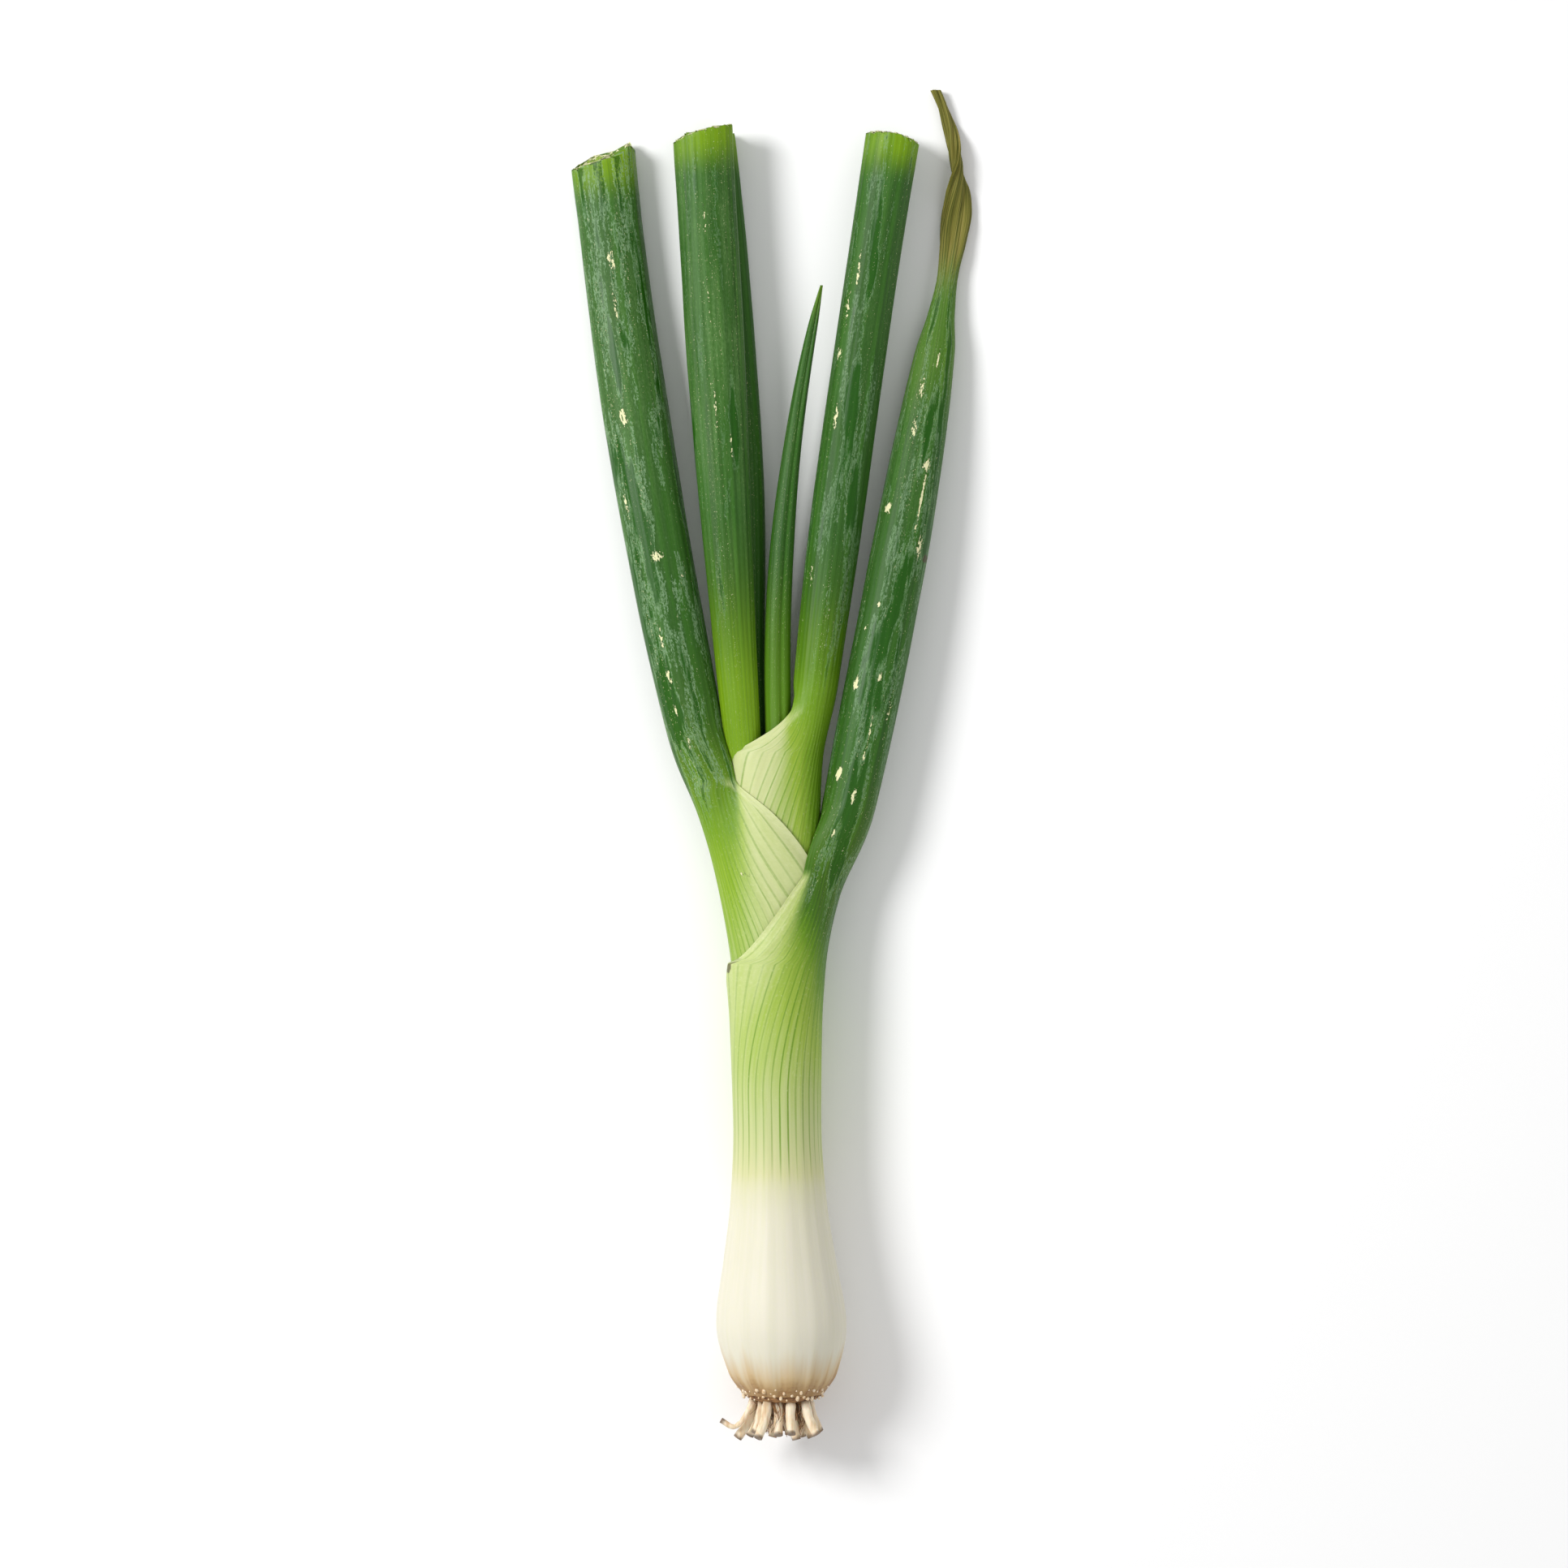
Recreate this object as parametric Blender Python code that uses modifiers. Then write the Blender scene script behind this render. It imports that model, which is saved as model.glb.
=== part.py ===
"""A spring onion lying on its side: hollow leaves sheathed one in another, a basal plate and cut roots.

Lengths are in millimetres until a mesh or a curve is made. The onion lies along +Y, roots first, and
rests on z = 0. Heights are measured along +Y from the underside of the leaves, where they meet the
basal plate. Angles are measured about +Y: 0 is the right side (+X) and 90 is the top (+Z).
"""

import math
from typing import NamedTuple

import bmesh
import bpy
import numpy as np
from mathutils import Vector

MM = 0.001
CLEARANCE = 0.3  # between pieces that touch

# Sheaths, one inside another
SHEATHS = 5  # round the innermost leaf
SHEATH_WALL = 0.85
SHEATH_GAP = 0.5  # between one sheath and the next
BULB_THICKENING = 0.205  # of each sheath, as a share of the bulb's swelling
STACK = SHEATHS * (SHEATH_WALL + SHEATH_GAP)

# The innermost leaf, where the sheaths are round it
CORE_BASE_RADIUS = 1.05
CORE_NECK_RADIUS = 1.95
CORE_SHAFT_RADIUS = 2.55
CORE_HALF_WIDTH = 4.55  # where the blades fan out
CORE_HALF_HEIGHT = 1.45

# The bundle of sheaths, from the basal plate up
BASE_RADIUS = CORE_BASE_RADIUS + STACK
BULB_RADIUS = 12.85
BULB_HEIGHT = 13.5  # of the bulb's widest place
NECK_RADIUS = CORE_NECK_RADIUS + STACK
NECK_HEIGHT = 52.0
SHAFT_RADIUS = CORE_SHAFT_RADIUS + STACK  # just below the first mouth
COLLAR_HALF_WIDTH = CORE_HALF_WIDTH + STACK
COLLAR_HALF_HEIGHT = CORE_HALF_HEIGHT + STACK
ROW_HEIGHT = 138.4  # where all the blades stand side by side
ROW_X = 0.8
ROW_Z = 9.3
BASE_OFFSET_X = 1.7  # the bulb's end lies this far to the side of the row

# Basal plate and roots
PLATE_THICKNESS = 1.8
PLATE_RADIUS = BASE_RADIUS - CLEARANCE
PLATE_FOOT_RADIUS = PLATE_RADIUS - 0.6
ROOT_COUNT = 18
ROOT_LENGTH = 7.2
ROOT_RADIUS = 0.9
ROOT_CIRCLE_RADIUS = PLATE_FOOT_RADIUS - 1.0
ROOT_FAN = 0.42  # sideways run of an outermost root, as a share of its length
STRAY_ROOT_RADIUS = 0.5
# A thin root that bends away to the side: x from the plate's middle, height under the roots' tops, z from the middle
STRAY_ROOT = ((-6.7, -0.5, 2.0), (-8.3, -3.0, 2.1), (-9.8, -3.9, 2.0), (-12.2, -2.6, 1.7))

# Rings of facets up a leaf
MOUTH_STEPS = 7
OPENING_STEPS = 4
BLADE_STEPS = 7


class Leaf(NamedTuple):
    name: str
    colour: tuple
    layer: int  # sheaths outside this one
    facing: float  # the side on which the blade grows, in degrees
    sides: int  # facets round the sheath
    mouth: tuple  # the sheath's opening, from its lowest point to its top, above the row
    span: float  # half the angle that the sheath still covers at the mouth's top
    swell: tuple  # where the blade's back swells out of the sheath, above the row
    free: tuple  # where the blade's front leaves the inner sheaths, above the row
    length: float  # of the blade, above the row
    lean: float  # sideways run per millimetre at the row
    curl: float  # change of that run, per millimetre
    row_gap: float  # to the neighbour nearer the middle, at the row
    end_z: float  # of the blade's centre at its end
    blade: tuple  # height above the row as a share of the length, half width, half height
    wall: float = 0.8  # round the hollow of a cut blade, or 0 for a blade with a closed tip
    cut_slope: float = 0.0  # rise of the cut end, per millimetre towards +X
    hook: float = 0.0  # how far a withered tip turns back sideways
    hook_start: float = 1.0  # where it starts, as a share of the length


GREEN = (0.045, 0.15, 0.045, 1.0)
BRIGHT_GREEN = (0.10, 0.27, 0.035, 1.0)
DARK_GREEN = (0.02, 0.075, 0.025, 1.0)

OUTER = Leaf(
    name="outer_leaf", colour=GREEN, layer=0, facing=0.0, sides=18,
    mouth=(-54.0, -37.1), span=61.0, swell=(-50.0, -22.0), free=(-31.6, -16.6),
    length=118.9, lean=0.2, curl=-2.24e-4, row_gap=1.2, end_z=0.75,
    blade=((-0.2, 5.4, 5.2), (0.0, 5.8, 5.0), (0.19, 5.8, 4.8), (0.38, 5.2, 4.4), (0.56, 3.9, 3.2),
           (0.66, 2.2, 1.7), (0.76, 2.9, 1.2), (0.85, 1.2, 0.9), (0.9, 1.7, 0.9), (0.96, 1.1, 0.7),
           (1.0, 0.5, 0.45)),
    wall=0.0, hook=8.0, hook_start=0.77,
)
SECOND = Leaf(
    name="second_leaf", colour=GREEN, layer=1, facing=180.0, sides=18,
    mouth=(-32.8, -18.4), span=39.0, swell=(-46.0, -14.0), free=(-14.6, -6.6),
    length=104.5, lean=-0.21, curl=5.0e-4, row_gap=0.3, end_z=4.25,
    blade=((-0.2, 5.2, 5.0), (0.0, 6.0, 5.0), (0.45, 6.64, 4.8), (1.0, 6.2, 4.2)),
)
THIRD = Leaf(
    name="third_leaf", colour=GREEN, layer=2, facing=0.0, sides=14,
    mouth=(-12.0, -4.4), span=76.0, swell=(-14.6, 1.4), free=(-4.4, 3.4),
    length=108.3, lean=0.122, curl=1.74e-4, row_gap=0.4, end_z=8.5,
    blade=((-0.15, 3.9, 4.4), (0.0, 4.4, 4.4), (0.3, 5.2, 4.4), (1.0, 5.2, 4.2)),
    cut_slope=-0.22,
)
FOURTH = Leaf(
    name="fourth_leaf", colour=BRIGHT_GREEN, layer=3, facing=145.0, sides=12,
    mouth=(-50.0, -38.0), span=45.0, swell=(-12.0, 0.0), free=(-12.0, 0.0),
    length=109.2, lean=-0.077, curl=1.25e-4, row_gap=1.1, end_z=10.3,
    blade=((-0.15, 3.4, 2.2), (0.0, 4.0, 2.9), (0.4, 5.2, 3.4), (0.7, 5.8, 3.6), (1.0, 5.8, 3.6)),
    cut_slope=0.29,
)
BACK = Leaf(
    name="back_leaf", colour=DARK_GREEN, layer=4, facing=-95.0, sides=12,
    mouth=(-44.0, -30.0), span=42.0, swell=(-12.0, 0.0), free=(-12.0, 0.0),
    length=110.0, lean=-0.018, curl=-4.5e-4, row_gap=1.7, end_z=3.3,
    blade=((-0.15, 3.5, 1.5), (0.0, 3.5, 1.5), (0.4, 4.8, 2.8), (1.0, 5.0, 3.1)),
)
YOUNG = Leaf(
    name="young_leaf", colour=BRIGHT_GREEN, layer=5, facing=0.0, sides=14,
    mouth=(), span=0.0, swell=(-12.0, 0.0), free=(-12.0, 0.0),
    length=79.6, lean=-0.0104, curl=1.73e-3, row_gap=0.0, end_z=8.6,
    blade=((-0.15, 2.6, 2.4), (0.0, 2.6, 2.4), (0.3, 2.45, 2.1), (0.6, 1.8, 1.5), (0.9, 0.95, 0.8),
           (1.0, 0.3, 0.3)),
    wall=0.0,
)
LEAVES = (OUTER, SECOND, THIRD, FOURTH, BACK, YOUNG)


def clear_scene():
    for obj in list(bpy.data.objects):
        bpy.data.objects.remove(obj, do_unlink=True)


def smooth_curve(keys, at):
    """The value at one place on a smooth curve through (place, value) keys that never overshoots them."""
    places = [key[0] for key in keys]
    values = [key[1] for key in keys]
    if at <= places[0]:
        return values[0]
    if at >= places[-1]:
        return values[-1]
    rises = [(values[i + 1] - values[i]) / (places[i + 1] - places[i]) for i in range(len(keys) - 1)]
    slopes = [rises[0], *(0.0 for _ in rises[1:]), rises[-1]]
    for i in range(1, len(rises)):
        if rises[i - 1] * rises[i] > 0:
            slopes[i] = 2 * rises[i - 1] * rises[i] / (rises[i - 1] + rises[i])
    i = max(j for j in range(len(rises)) if places[j] <= at)
    step = places[i + 1] - places[i]
    t = (at - places[i]) / step
    return (
        values[i] * (1 + 2 * t) * (1 - t) ** 2
        + values[i + 1] * t * t * (3 - 2 * t)
        + step * (slopes[i] * t * (1 - t) ** 2 - slopes[i + 1] * t * t * (1 - t))
    )


def ramp(at, start, stop):
    """0 up to start, 1 from stop on, with a smooth rise between."""
    t = min(max((at - start) / (stop - start), 0.0), 1.0)
    return t * t * (3 - 2 * t)


def between(a, b, share):
    return a + (b - a) * share


def bundle_radii(height):
    """Half width and half height of the whole bundle of sheaths."""
    shared = [
        (0.0, BASE_RADIUS),
        (0.3 * BULB_HEIGHT, between(BASE_RADIUS, BULB_RADIUS, 0.56)),
        (BULB_HEIGHT, BULB_RADIUS),
        (between(BULB_HEIGHT, NECK_HEIGHT, 0.34), between(NECK_RADIUS, BULB_RADIUS, 0.56)),
        (between(BULB_HEIGHT, NECK_HEIGHT, 0.63), between(NECK_RADIUS, BULB_RADIUS, 0.19)),
        (NECK_HEIGHT, NECK_RADIUS),
        (ROW_HEIGHT - 58.0, SHAFT_RADIUS),
    ]
    wide = high = smooth_curve(shared, height)
    fanned = min(max((height - ROW_HEIGHT + 58.0) / 20.0, 0.0), 1.0)
    return between(wide, COLLAR_HALF_WIDTH, fanned), between(high, COLLAR_HALF_HEIGHT, fanned)


def layer_inset(height, layer):
    """How far the outside of a sheath lies inside the bundle's outside, and the sheath's own wall."""
    wall = SHEATH_WALL + BULB_THICKENING * max(bundle_radii(height)[1] - NECK_RADIUS, 0.0)
    if height < BULB_HEIGHT:
        wall = between(SHEATH_WALL, wall, ramp(height, 0.0, BULB_HEIGHT))
    if height > NECK_HEIGHT:
        wall = SHEATH_WALL
    return layer * (wall + SHEATH_GAP), wall


def bundle_centre(height):
    """x and z of the bundle's axis, which slopes down from the bulb to the row of blades."""
    share = min(max(height / ROW_HEIGHT, 0.0), 1.0)
    x = ROW_X + BASE_OFFSET_X * (1 - share) ** 2.5
    down = min(max((height - BULB_HEIGHT) / (ROW_HEIGHT - BULB_HEIGHT), 0.0), 1.0)
    return x, between(BULB_RADIUS, ROW_Z, down)


def row_place(leaf):
    """x and z of a blade's centre in the row. Each blade stands beside its neighbour nearer the middle."""
    half_width = blade_radii(leaf, 0.0)[0]
    if leaf is YOUNG:
        return ROW_X, ROW_Z
    if leaf is BACK:
        return row_place(FOURTH)[0] + BACK.row_gap, ROW_Z - COLLAR_HALF_HEIGHT * 0.4
    inner = {FOURTH: YOUNG, SECOND: FOURTH, THIRD: YOUNG, OUTER: THIRD}[leaf]
    side = -1.0 if leaf in (SECOND, FOURTH) else 1.0
    apart = blade_radii(inner, 0.0)[0] + leaf.row_gap + half_width
    return row_place(inner)[0] + side * apart, ROW_Z


def blade_radii(leaf, above):
    share = above / leaf.length
    wide = smooth_curve([(at, half) for at, half, _ in leaf.blade], share)
    high = smooth_curve([(at, half) for at, _, half in leaf.blade], share)
    return wide, high


def blade_centre(leaf, above):
    row_x, row_z = row_place(leaf)
    x = row_x + leaf.lean * above + leaf.curl * above * above
    turned = max(above / leaf.length - leaf.hook_start, 0.0) / max(1.0 - leaf.hook_start, 1e-6)
    x -= leaf.hook * turned * turned
    z = between(row_z, leaf.end_z, ramp(above, 0.0, leaf.length))
    if leaf is FOURTH:
        z = blade_centre(BACK, above)[1] + blade_radii(BACK, above)[1] + CLEARANCE
        z += blade_radii(FOURTH, above)[1]
    return x, z


def on_sheath(leaf, height, angle, inset):
    """A point on the leaf's sheath, or that far inside its outer surface."""
    wide, high = bundle_radii(height)
    x, z = bundle_centre(height)
    inset += layer_inset(height, leaf.layer)[0]
    return x + (wide - inset) * math.cos(angle), z + (high - inset) * math.sin(angle)


def on_blade(leaf, height, angle, inset=0.0):
    above = height - ROW_HEIGHT
    wide, high = blade_radii(leaf, above)
    x, z = blade_centre(leaf, above)
    return x + (wide - inset) * math.cos(angle), z + (high - inset) * math.sin(angle)


def mouth_angle(leaf, height):
    """Half the angle that the sheath covers at this height: all round below its mouth, then less and less."""
    low, top = (ROW_HEIGHT + above for above in leaf.mouth)
    if height <= low:
        return math.pi
    risen = min((height - low) / (top - low), 1.0)
    return math.acos(between(-1.0, math.cos(math.radians(leaf.span)), risen))


def section(leaf, height):
    """The leaf's back and front at one height, as two rows of points that run the same way round."""
    facing = math.radians(leaf.facing)
    above = height - ROW_HEIGHT
    covered = mouth_angle(leaf, height)
    oval = math.pi / 2 * leaf.sides / (leaf.sides + 1)
    swollen = ramp(above, *leaf.swell)
    freed = ramp(above, *leaf.free)
    wall = layer_inset(height, leaf.layer)[1]
    back, front = [], []
    for i in range(leaf.sides + 1):
        turn = 2.0 * i / leaf.sides - 1.0
        middle = math.cos(turn * math.pi / 2) ** 2
        moved = between(swollen * middle, 1.0, freed)
        sheath = on_sheath(leaf, height, facing + turn * covered, 0.0)
        blade = on_blade(leaf, height, facing + turn * oval)
        back.append([between(a, b, moved) for a, b in zip(sheath, blade)])
        sheath = on_sheath(leaf, height, facing + turn * covered, wall)
        blade = on_blade(leaf, height, facing + math.pi - turn * oval)
        front.append([between(a, b, freed) for a, b in zip(sheath, blade)])
    return back, front


def cut_height(leaf, height, x):
    """Heights near a cut end follow the slant of the cut."""
    above = height - ROW_HEIGHT
    near_end = max(0.0, 1.0 - (leaf.length - above) / 12.0)
    return height + near_end * leaf.cut_slope * (x - blade_centre(leaf, above)[0])


def sheath_heights(top):
    """Heights shared by all the sheaths, so that their facets lie parallel."""
    heights = [BULB_HEIGHT * share for share in (0.0, 0.12, 0.32, 0.62, 1.0)]
    heights += [between(BULB_HEIGHT, NECK_HEIGHT, share) for share in (0.16, 0.34, 0.5, 0.7, 1.0)]
    heights += [between(NECK_HEIGHT, ROW_HEIGHT - 58.0, 0.5)]
    heights += [ROW_HEIGHT - below for below in (58.0, 38.0, 24.0)]
    return [height for height in heights if height < top - 1.0]


def mouth_heights(leaf):
    """Heights up the mouth, at even steps of the angle that the sheath still covers."""
    low, top = (ROW_HEIGHT + above for above in leaf.mouth)
    last = math.cos(math.radians(leaf.span))
    for step in range(MOUTH_STEPS + 1):
        covered = math.radians(between(180.0, leaf.span, step / MOUTH_STEPS))
        yield between(low, top, (math.cos(covered) + 1) / (last + 1))


def opening_heights(leaf, start):
    """Heights from the mouth up to where the section has become the blade's own oval."""
    parting = ROW_HEIGHT + leaf.free[0]
    full = ROW_HEIGHT + max(leaf.free[1], leaf.swell[1])
    heights = [height for height in [*sheath_heights(parting), parting] if height > start + 1.0]
    return heights + [between(parting, full, (step + 1) / OPENING_STEPS) for step in range(OPENING_STEPS)]


def blade_heights(leaf):
    """Heights up the blade's own oval: evenly up a plain blade, one to each key of a withered one."""
    full = ROW_HEIGHT + max(leaf.free[1], leaf.swell[1])
    if leaf.hook:
        keys = [ROW_HEIGHT + at * leaf.length for at, _, _ in leaf.blade]
        return [height for height in keys if height > full + 5.0]
    end = ROW_HEIGHT + leaf.length
    return [between(full, end, (step + 1) / BLADE_STEPS) for step in range(BLADE_STEPS)]


class Skin:
    """A closed surface built ring by ring along a leaf."""

    def __init__(self):
        self.bm = bmesh.new()

    def points(self, leaf, height, row, shut=False):
        """Vertices along a row of (x, z) points. A shut row ends on the vertex that it starts from."""
        made = [
            self.bm.verts.new(Vector((x, cut_height(leaf, height, x), z)) * MM)
            for x, z in (row[:-1] if shut else row)
        ]
        return [*made, made[0]] if shut else made

    def strip(self, low, high):
        """Faces between two rows of vertices of the same length."""
        for i in range(len(low) - 1):
            self.bm.faces.new((low[i], low[i + 1], high[i + 1], high[i]))

    def finish(self, name):
        bmesh.ops.recalc_face_normals(self.bm, faces=self.bm.faces)
        mesh = bpy.data.meshes.new(name)
        self.bm.to_mesh(mesh)
        self.bm.free()
        mesh.shade_smooth()
        mesh.set_sharp_from_angle(angle=math.radians(40))
        return mesh


def hollow(skin, leaf, rim, heights):
    """A lumen sunk into a cut blade: from the rim of its end down to its floor."""
    facing = math.radians(leaf.facing)
    count = leaf.sides + 1
    rings = []
    for height in reversed(heights):
        angles = [facing - math.pi / 2 + (i + 0.25) * math.tau / count for i in range(count)]
        row = [on_blade(leaf, height, angle, leaf.wall) for angle in angles]
        rings.append(skin.points(leaf, height, [*row, row[0]], shut=True))
    for i in range(count):
        outer = [rim[(2 * i + step) % (2 * count)] for step in range(3)]
        skin.bm.faces.new((outer[0], outer[1], rings[0][i]))
        skin.bm.faces.new((outer[1], outer[2], rings[0][i + 1], rings[0][i]))
    for high, low in zip(rings, rings[1:]):
        skin.strip(high, low)
    skin.bm.faces.new(rings[-1][:-1])


def leaf_mesh(leaf):
    """One leaf as one closed solid: a ring-shaped sheath, its slanting mouth and its blade."""
    skin = Skin()
    mouth = list(mouth_heights(leaf))
    low = mouth[0]
    blade = blade_heights(leaf)
    rows = []
    for height in [*sheath_heights(low), *mouth, *opening_heights(leaf, mouth[-1]), *blade]:
        back, front = section(leaf, height)
        shut = height <= low
        rows.append((skin.points(leaf, height, back, shut), skin.points(leaf, height, front, shut)))
    for (back_low, front_low), (back_high, front_high) in zip(rows, rows[1:]):
        skin.strip(back_low, back_high)
        skin.strip(front_high, front_low)
        if back_high[0] is not back_high[-1]:
            skin.strip([front_low[0], back_low[0]], [front_high[0], back_high[0]])
            skin.strip([back_low[-1], front_low[-1]], [back_high[-1], front_high[-1]])
    skin.strip(rows[0][1], rows[0][0])
    rim = [*rows[-1][0], *reversed(rows[-1][1])]
    if leaf.wall:
        hollow(skin, leaf, rim, blade)
    else:
        skin.bm.faces.new(rim)
    return skin.finish(leaf.name)


def core_mesh(leaf):
    """The innermost leaf: a solid rod inside the other sheaths, then a pointed blade."""
    skin = Skin()
    heights = [0.0, *opening_heights(leaf, 0.0), *blade_heights(leaf)]
    rings = []
    for height in heights:
        moved = ramp(height - ROW_HEIGHT, *leaf.swell)
        row = []
        for i in range(leaf.sides + 1):
            angle = math.tau * i / leaf.sides
            sheath = on_sheath(leaf, height, angle, 0.0)
            blade = on_blade(leaf, height, angle)
            row.append([between(a, b, moved) for a, b in zip(sheath, blade)])
        rings.append(skin.points(leaf, height, row, shut=True))
    for ring_low, ring_high in zip(rings, rings[1:]):
        skin.strip(ring_low, ring_high)
    skin.bm.faces.new(rings[0][:-1])
    skin.bm.faces.new(rings[-1][:-1])
    return skin.finish(leaf.name)


def plain_material(name, colour, roughness):
    material = bpy.data.materials.new(name)
    material.use_nodes = True
    shader = material.node_tree.nodes["Principled BSDF"]
    shader.inputs["Base Color"].default_value = colour
    shader.inputs["Roughness"].default_value = roughness
    shader.inputs["Metallic"].default_value = 0.0
    material.diffuse_color = colour
    return material


def place(name, data, colour, roughness, collection, holder):
    obj = bpy.data.objects.new(name, data)
    data.materials.append(plain_material(name, colour, roughness))
    collection.objects.link(obj)
    obj.parent = holder
    return obj


def add_plate(collection, holder):
    """The basal plate, turned about the onion's axis."""
    bm = bmesh.new()
    profile = [
        (0.0, 0.0),
        (PLATE_RADIUS - 0.4, 0.0),
        (PLATE_RADIUS, -0.4),
        (PLATE_FOOT_RADIUS, -PLATE_THICKNESS + 0.3),
        (PLATE_FOOT_RADIUS - 0.5, -PLATE_THICKNESS),
        (0.0, -PLATE_THICKNESS),
    ]
    verts = [bm.verts.new((radius * MM, 0.0, level * MM)) for radius, level in profile]
    for a, b in zip(verts, verts[1:]):
        bm.edges.new((a, b))
    mesh = bpy.data.meshes.new("basal_plate")
    bm.to_mesh(mesh)
    bm.free()
    plate = place("basal_plate", mesh, (0.42, 0.27, 0.13, 1.0), 0.75, collection, holder)
    turn = plate.modifiers.new("turned", "SCREW")
    turn.steps = turn.render_steps = 24
    turn.use_merge_vertices = True
    turn.merge_threshold = 1e-6
    x, z = bundle_centre(0.0)
    plate.location = Vector((x, -CLEARANCE, z)) * MM
    plate.rotation_euler = (-math.pi / 2, 0.0, 0.0)
    return plate


def add_root(name, points, radii, collection, holder):
    """One root as a round tube through points, in millimetres."""
    curve = bpy.data.curves.new(name, "CURVE")
    curve.dimensions = "3D"
    curve.bevel_depth = MM
    curve.bevel_resolution = 1
    curve.use_fill_caps = True
    spline = curve.splines.new("POLY")
    spline.points.add(len(points) - 1)
    for point, (x, y, z), radius in zip(spline.points, points, radii):
        point.co = (x * MM, y * MM, z * MM, 1.0)
        point.radius = radius
    place(name, curve, (0.62, 0.47, 0.29, 1.0), 0.7, collection, holder)


def add_roots(collection, holder):
    """Cut root stubs, set in a spiral under the basal plate and fanning out from it, and one thin stray root."""
    x, z = bundle_centre(0.0)
    top = -CLEARANCE - PLATE_THICKNESS - 1.2 * CLEARANCE
    steps = 4
    for number in range(ROOT_COUNT):
        out = ROOT_CIRCLE_RADIUS * math.sqrt((number + 0.35) / (ROOT_COUNT - 0.65))
        angle = number * math.pi * (3 - math.sqrt(5))
        length = ROOT_LENGTH * (0.9 + 0.1 * math.sin(2.7 * number))
        if number == ROOT_COUNT - 1:
            length = ROOT_LENGTH
        run = ROOT_FAN * length * out / ROOT_CIRCLE_RADIUS
        bend = 0.5 * math.sin(1.9 * number)
        points, radii = [], []
        for i in range(steps + 1):
            t = i / steps
            away = out + run * t * t
            aside = bend * t * t
            points.append(
                (
                    x + away * math.cos(angle) - aside * math.sin(angle),
                    top - length * t,
                    z + away * math.sin(angle) + aside * math.cos(angle),
                )
            )
            radii.append(between(1.0, 0.8, t) * ROOT_RADIUS)
        add_root(f"root_{number + 1:02d}", points, radii, collection, holder)
    points = [(x + aside, top + under, z + over) for aside, under, over in STRAY_ROOT]
    radii = [STRAY_ROOT_RADIUS] * len(points)
    add_root(f"root_{ROOT_COUNT + 1:02d}", points, radii, collection, holder)


def centre_on_ground(holder, collection):
    """Moves the onion so that the origin is under the middle of its bounding box."""
    bpy.context.view_layer.update()
    graph = bpy.context.evaluated_depsgraph_get()
    corners = []
    for obj in collection.objects:
        if obj.type == "EMPTY":
            continue
        shape = obj.evaluated_get(graph)
        mesh = shape.to_mesh()
        points = np.array([shape.matrix_world @ vert.co for vert in mesh.vertices])
        corners += [points.min(axis=0), points.max(axis=0)]
        shape.to_mesh_clear()
    low = np.min(corners, axis=0)
    high = np.max(corners, axis=0)
    holder.location = (-(low[0] + high[0]) / 2, -(low[1] + high[1]) / 2, -low[2])


def main():
    clear_scene()
    collection = bpy.data.collections.new("spring_onion")
    bpy.context.scene.collection.children.link(collection)
    holder = bpy.data.objects.new("spring_onion_frame", None)
    collection.objects.link(holder)
    for leaf in LEAVES:
        mesh = core_mesh(leaf) if leaf is YOUNG else leaf_mesh(leaf)
        place(leaf.name, mesh, leaf.colour, 0.45, collection, holder)
    add_plate(collection, holder)
    add_roots(collection, holder)
    centre_on_ground(holder, collection)


main()
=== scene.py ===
"""A spring onion lying on a pale floor: leaves sheathed one in another, a basal plate, nubs and cut roots.

Lengths in the shape code are in millimetres and become metres when a vertex is placed. Heights run
along +Y from the underside of the leaves. Angles turn about +Y: 0 is the right side, 90 the top.
"""

import math
import random
from typing import NamedTuple

import bmesh
import bpy
from bpy.props import FloatProperty, FloatVectorProperty, IntProperty, PointerProperty
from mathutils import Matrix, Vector, noise


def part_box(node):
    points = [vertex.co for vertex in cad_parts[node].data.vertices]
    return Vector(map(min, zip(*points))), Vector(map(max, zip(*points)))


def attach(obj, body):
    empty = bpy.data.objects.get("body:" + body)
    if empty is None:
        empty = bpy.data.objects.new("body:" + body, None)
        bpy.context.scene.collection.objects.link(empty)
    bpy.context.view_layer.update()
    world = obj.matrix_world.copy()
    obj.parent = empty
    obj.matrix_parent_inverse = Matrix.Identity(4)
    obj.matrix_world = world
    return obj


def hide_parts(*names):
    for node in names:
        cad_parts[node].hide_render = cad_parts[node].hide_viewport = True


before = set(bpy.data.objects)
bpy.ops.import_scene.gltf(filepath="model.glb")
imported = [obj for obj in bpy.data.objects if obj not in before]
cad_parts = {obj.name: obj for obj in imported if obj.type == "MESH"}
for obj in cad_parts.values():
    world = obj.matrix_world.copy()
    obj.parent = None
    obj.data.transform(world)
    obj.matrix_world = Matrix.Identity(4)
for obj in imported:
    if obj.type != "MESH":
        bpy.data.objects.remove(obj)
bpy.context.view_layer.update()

bl_info = {
    "name": "Spring onion",
    "version": (1, 0, 0),
    "blender": (4, 5, 0),
    "location": "3D View > Sidebar > Spring onion",
    "description": "Builds a spring onion's leaves, basal plate and roots round its packed frame",
    "category": "Mesh",
}

MM = 0.001

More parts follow.
